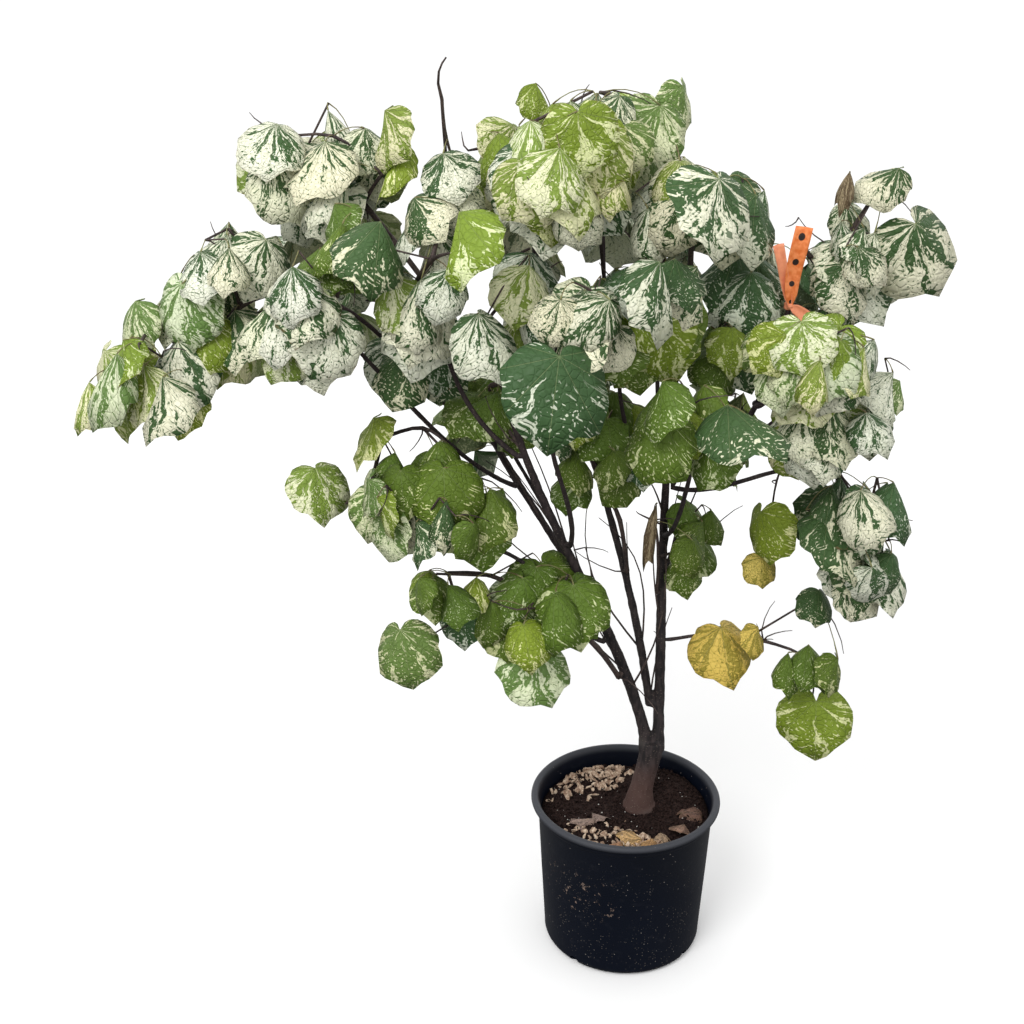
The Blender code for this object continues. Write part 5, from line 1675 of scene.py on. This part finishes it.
def in_patches(rng):
    """Where the chips lie: behind on the left, along the left front, and at the front."""
    while True:
        cx, cy, spread = rng.choice(((-0.045, 0.082, 0.020), (-0.07, 0.06, 0.022), (-0.02, 0.09, 0.02),
                                     (-0.055, -0.075, 0.020), (-0.01, -0.10, 0.020), (0.02, -0.10, 0.015)))
        x, y = rng.gauss(cx, spread), rng.gauss(cy, spread)
        if math.hypot(x, y) < 0.119:
            return x, y


edge_height = SOIL_TOP - SOIL_EDGE_DROP
taper = (POT_NECK_RADIUS - POT_BASE_RADIUS) / (POT_HEIGHT - 2 * POT_LIP - POT_CORNER)
wall = POT_WALL + GAP
edge = POT_BASE_RADIUS + taper * (edge_height - POT_CORNER) - wall - 0.0008
profile = [(edge * i / 26, edge_height) for i in range(27)]
profile += [
    (POT_BASE_RADIUS - wall - 0.0008, POT_CORNER + 0.002),
    (POT_BASE_RADIUS - POT_CORNER - 0.001, POT_WALL + 0.0006),
    (0.0, POT_WALL + 0.0006),
]
bm = spun(profile, 96)
for vert in bm.verts:
    if vert.co.z > edge_height - 0.001:
        vert.co.z = soil_height(vert.co.x, vert.co.y)
for face in bm.faces:
    face.smooth = True
earth = soil_finish("potting soil", (0.004, 0.002, 0.002), (0.042, 0.024, 0.020), 420.0, (0.03, 0.02, 0.015))
rng = random.Random(21)
soil = new_object("soil_bed", bm, earth)
crumbs = lumps("soil_crumbs", CRUMBS, anywhere, lambda r: r.uniform(0.0012, 0.0034), earth, rng)
white = soil_finish("perlite", (0.55, 0.53, 0.48), (0.82, 0.80, 0.76), 500.0, (0.8, 0.78, 0.74))
perlite = lumps("perlite", PERLITE, anywhere, lambda r: r.uniform(0.0004, 0.0011), white, rng, 1.0)
tan = soil_finish("bark chips", (0.26, 0.16, 0.11), (0.72, 0.58, 0.44), 160.0, (0.5, 0.38, 0.28))
chips = lumps("bark_chips", CHIPS, in_patches, lambda r: r.uniform(0.002, 0.0072), tan, rng, 0.28)
for piece in (soil, crumbs, perlite, chips):
    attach(piece, "root")
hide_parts("soil")
print("soil", [len(piece.data.polygons) for piece in (soil, crumbs, perlite, chips)], "faces")

# %% [markdown]
# ## Fallen leaves
# Dried leaves lie on the soil: they are the same hearts, smaller, browner and more curled.

# %% Drop a few dry leaves
# Each fallen leaf: its place, the way its tip points, its length and its ground colour
FALLEN = (
    ((-0.060, -0.042), 200, 0.042, (0.36, 0.25, 0.21)),
    ((-0.045, -0.030), 300, 0.032, (0.30, 0.21, 0.18)),
    ((0.004, -0.086), 160, 0.036, (0.70, 0.44, 0.20)),
    ((0.026, -0.096), 30, 0.030, (0.60, 0.34, 0.15)),
    ((0.080, -0.060), 250, 0.034, (0.34, 0.20, 0.14)),
    ((0.095, -0.020), 20, 0.036, (0.20, 0.11, 0.08)),
    ((-0.030, -0.100), 330, 0.034, (0.42, 0.22, 0.12)),
    ((0.050, -0.090), 100, 0.024, (0.50, 0.34, 0.22)),
)
FALLEN_HEIGHT = 0.006

rng = random.Random(33)
bm = bmesh.new()
layers = leaf_layers(bm)
for (x, y), degrees, length, colour in FALLEN:
    tip = Matrix.Rotation(math.radians(degrees), 3, "Z") @ Vector((1, 0, 0.12))
    normal = direction((rng.uniform(-0.3, 0.3), rng.uniform(-0.3, 0.3), 1.0))
    tip = direction(tip - normal * tip.dot(normal))
    place = Vector((x, y, soil_height(x, y) + FALLEN_HEIGHT)) - tip * 0.4 * length
    leaf = Leaf(place, normal, tip, length, "yellow")
    for vert in add_leaf(bm, leaf, rng, layers):
        vert[layers["ground"]] = (*colour, 1.0)
        vert[layers["marks"]] = (*(Vector(colour) * 0.45), 1.0)
fallen = leaf_piece("fallen_leaves", bm)

# %% [markdown]
# ## Marker tape
# A strip of thin orange film is knotted round the right bough, with one strand that has a row of
# round black dots, a paler strand behind it and a short tail. Each strand is a narrow grid laid
# along a curve, slightly cupped across its width, and thickened a little.

# %% Tie the tape
TAPE_THICKNESS = 0.0006
TAPE_RING = 0.003
DOT_RADIUS = 0.0042
TAPE_COLUMNS = 6

# Each strand: where it goes on from the knot, its widths, its cupping, and whether it has dots
STRANDS = (
    (((0.001, -0.003, 0.045), (0.010, -0.004, 0.105)), (0.012, 0.021, 0.023), 0.10, 1.0),
    (((-0.010, -0.002, 0.035), (-0.022, -0.004, 0.082)), (0.010, 0.012, 0.015), 0.25, 0.0),
    (((0.018, -0.006, -0.010), (0.042, -0.010, -0.030)), (0.010, 0.016, 0.018), 0.20, 0.0),
)


def tape_finish():
    film = Finish("marker tape", (0.9, 0.22, 0.05), 0.4)
    u, v, dotted = film.parts(film.attribute("strand"))
    across = (u - 0.5) * 0.021
    along = film.maths("PINGPONG", v, 0.0145) - 0.0
    nearest = 0.0145 - along
    away = film.maths("SQRT", across * across + nearest * nearest)
    dot = (1 - film.step(away, DOT_RADIUS * 0.88, DOT_RADIUS * 1.05)) * dotted
    crinkle = film.noise(film.place(), 150.0, 3.0)
    colour = film.blend(film.step(crinkle, 0.3, 0.7), (0.74, 0.17, 0.035), (0.93, 0.30, 0.10))
    colour = film.blend((1 - dotted) * 0.45, colour, (0.95, 0.42, 0.28))
    colour = film.blend(dot, colour, (0.02, 0.012, 0.01))
    return film.surface(colour, 0.34 + crinkle * 0.15, crinkle, 0.0006)


route = ROUTES["right_bough"]
spot = TAPE_SHARE * (len(route) - 1)
low = int(spot)
centre = route[low][0].lerp(route[low + 1][0], spot - low)
bough_way = direction(route[low + 1][0] - route[low][0])
bough_radius = max(route[low][1], route[low + 1][1])
knot = centre + direction((0.25, -0.97, 0)) * (bough_radius + GAP + TAPE_RING - 0.0012)

bm = bmesh.new()
strand_layer = bm.verts.layers.float_vector.new("strand")
for ends, widths, cup, dotted in STRANDS:
    base = len(bm.verts)
    corners = [knot] + [knot + Vector(offset) for offset in ends]
    bmesh.ops.create_grid(bm, x_segments=TAPE_COLUMNS, y_segments=24, size=0.5)
    bm.verts.ensure_lookup_table()
    for vert in bm.verts[base:]:
        u, t = vert.co.x + 0.5, vert.co.y + 0.5
        middle = corners[0] * (1 - t) * (1 - 2 * t) + corners[1] * 4 * t * (1 - t) + corners[2] * t * (2 * t - 1)
        ahead = direction((corners[1] - corners[0]).lerp(corners[2] - corners[1], t))
        side = direction(ahead.cross(Vector((0.1, -1, 0.2))))
        face = direction(side.cross(ahead))
        wide = widths[0] * (1 - t) * (1 - 2 * t) + widths[1] * 4 * t * (1 - t) + widths[2] * t * (2 * t - 1)
        wide *= 0.45 + 0.55 * min(1.0, t * 5)
        curl = cup * wide * ((2 * u - 1) ** 2 - 0.5) + 0.0012 * math.sin(9 * t + 3 * cup)
        length = (corners[1] - corners[0]).length + (corners[2] - corners[1]).length
        vert[strand_layer] = Vector((u, t * length + 0.006, dotted))
        vert.co = middle + side * (u - 0.5) * wide + face * curl
film = bpy.data.meshes.new("marker_strands")
for face in bm.faces:
    face.smooth = True
strands = new_object("marker_strands", bm, tape_finish())
thicken = strands.modifiers.new("Thickness", "SOLIDIFY")
thicken.thickness = TAPE_THICKNESS
thicken.offset = 0.0

bm = bmesh.new()
turn = Matrix.Translation(centre) @ UP.rotation_difference(bough_way).to_matrix().to_4x4()
for height, tilt in ((-0.0012, 0.25), (0.0008, -0.2), (0.0, 0.6)):
    loop = arc((bough_radius + 0.0012, height), 0.0011, 0, 360, 8)[:-1]
    verts = [bm.verts.new((radius, 0.0, z * 2.2)) for radius, z in loop]
    edges = [bm.edges.new((verts[i], verts[(i + 1) % 8])) for i in range(8)]
    made = bmesh.ops.spin(
        bm, geom=verts + edges, axis=UP, cent=(0, 0, 0), angle=math.tau, steps=24, use_merge=True
    )
    whole = [v for v in bm.verts if not v.tag]
    bmesh.ops.rotate(bm, verts=whole, cent=(0, 0, 0), matrix=Matrix.Rotation(tilt * 0.5, 3, "X"))
    for vert in bm.verts:
        vert.tag = True
bmesh.ops.create_icosphere(bm, subdivisions=3, radius=0.0042, matrix=turn.inverted() @ Matrix.Translation(knot))
bmesh.ops.recalc_face_normals(bm, faces=bm.faces)
bmesh.ops.transform(bm, matrix=turn, verts=bm.verts)
for face in bm.faces:
    face.smooth = True
knot_piece = new_object("marker_knot", bm, strands.data.materials[0])
for piece in (strands, knot_piece):
    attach(piece, "root")
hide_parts("marker_tape")
print("tape knotted at", [round(c, 3) for c in knot])
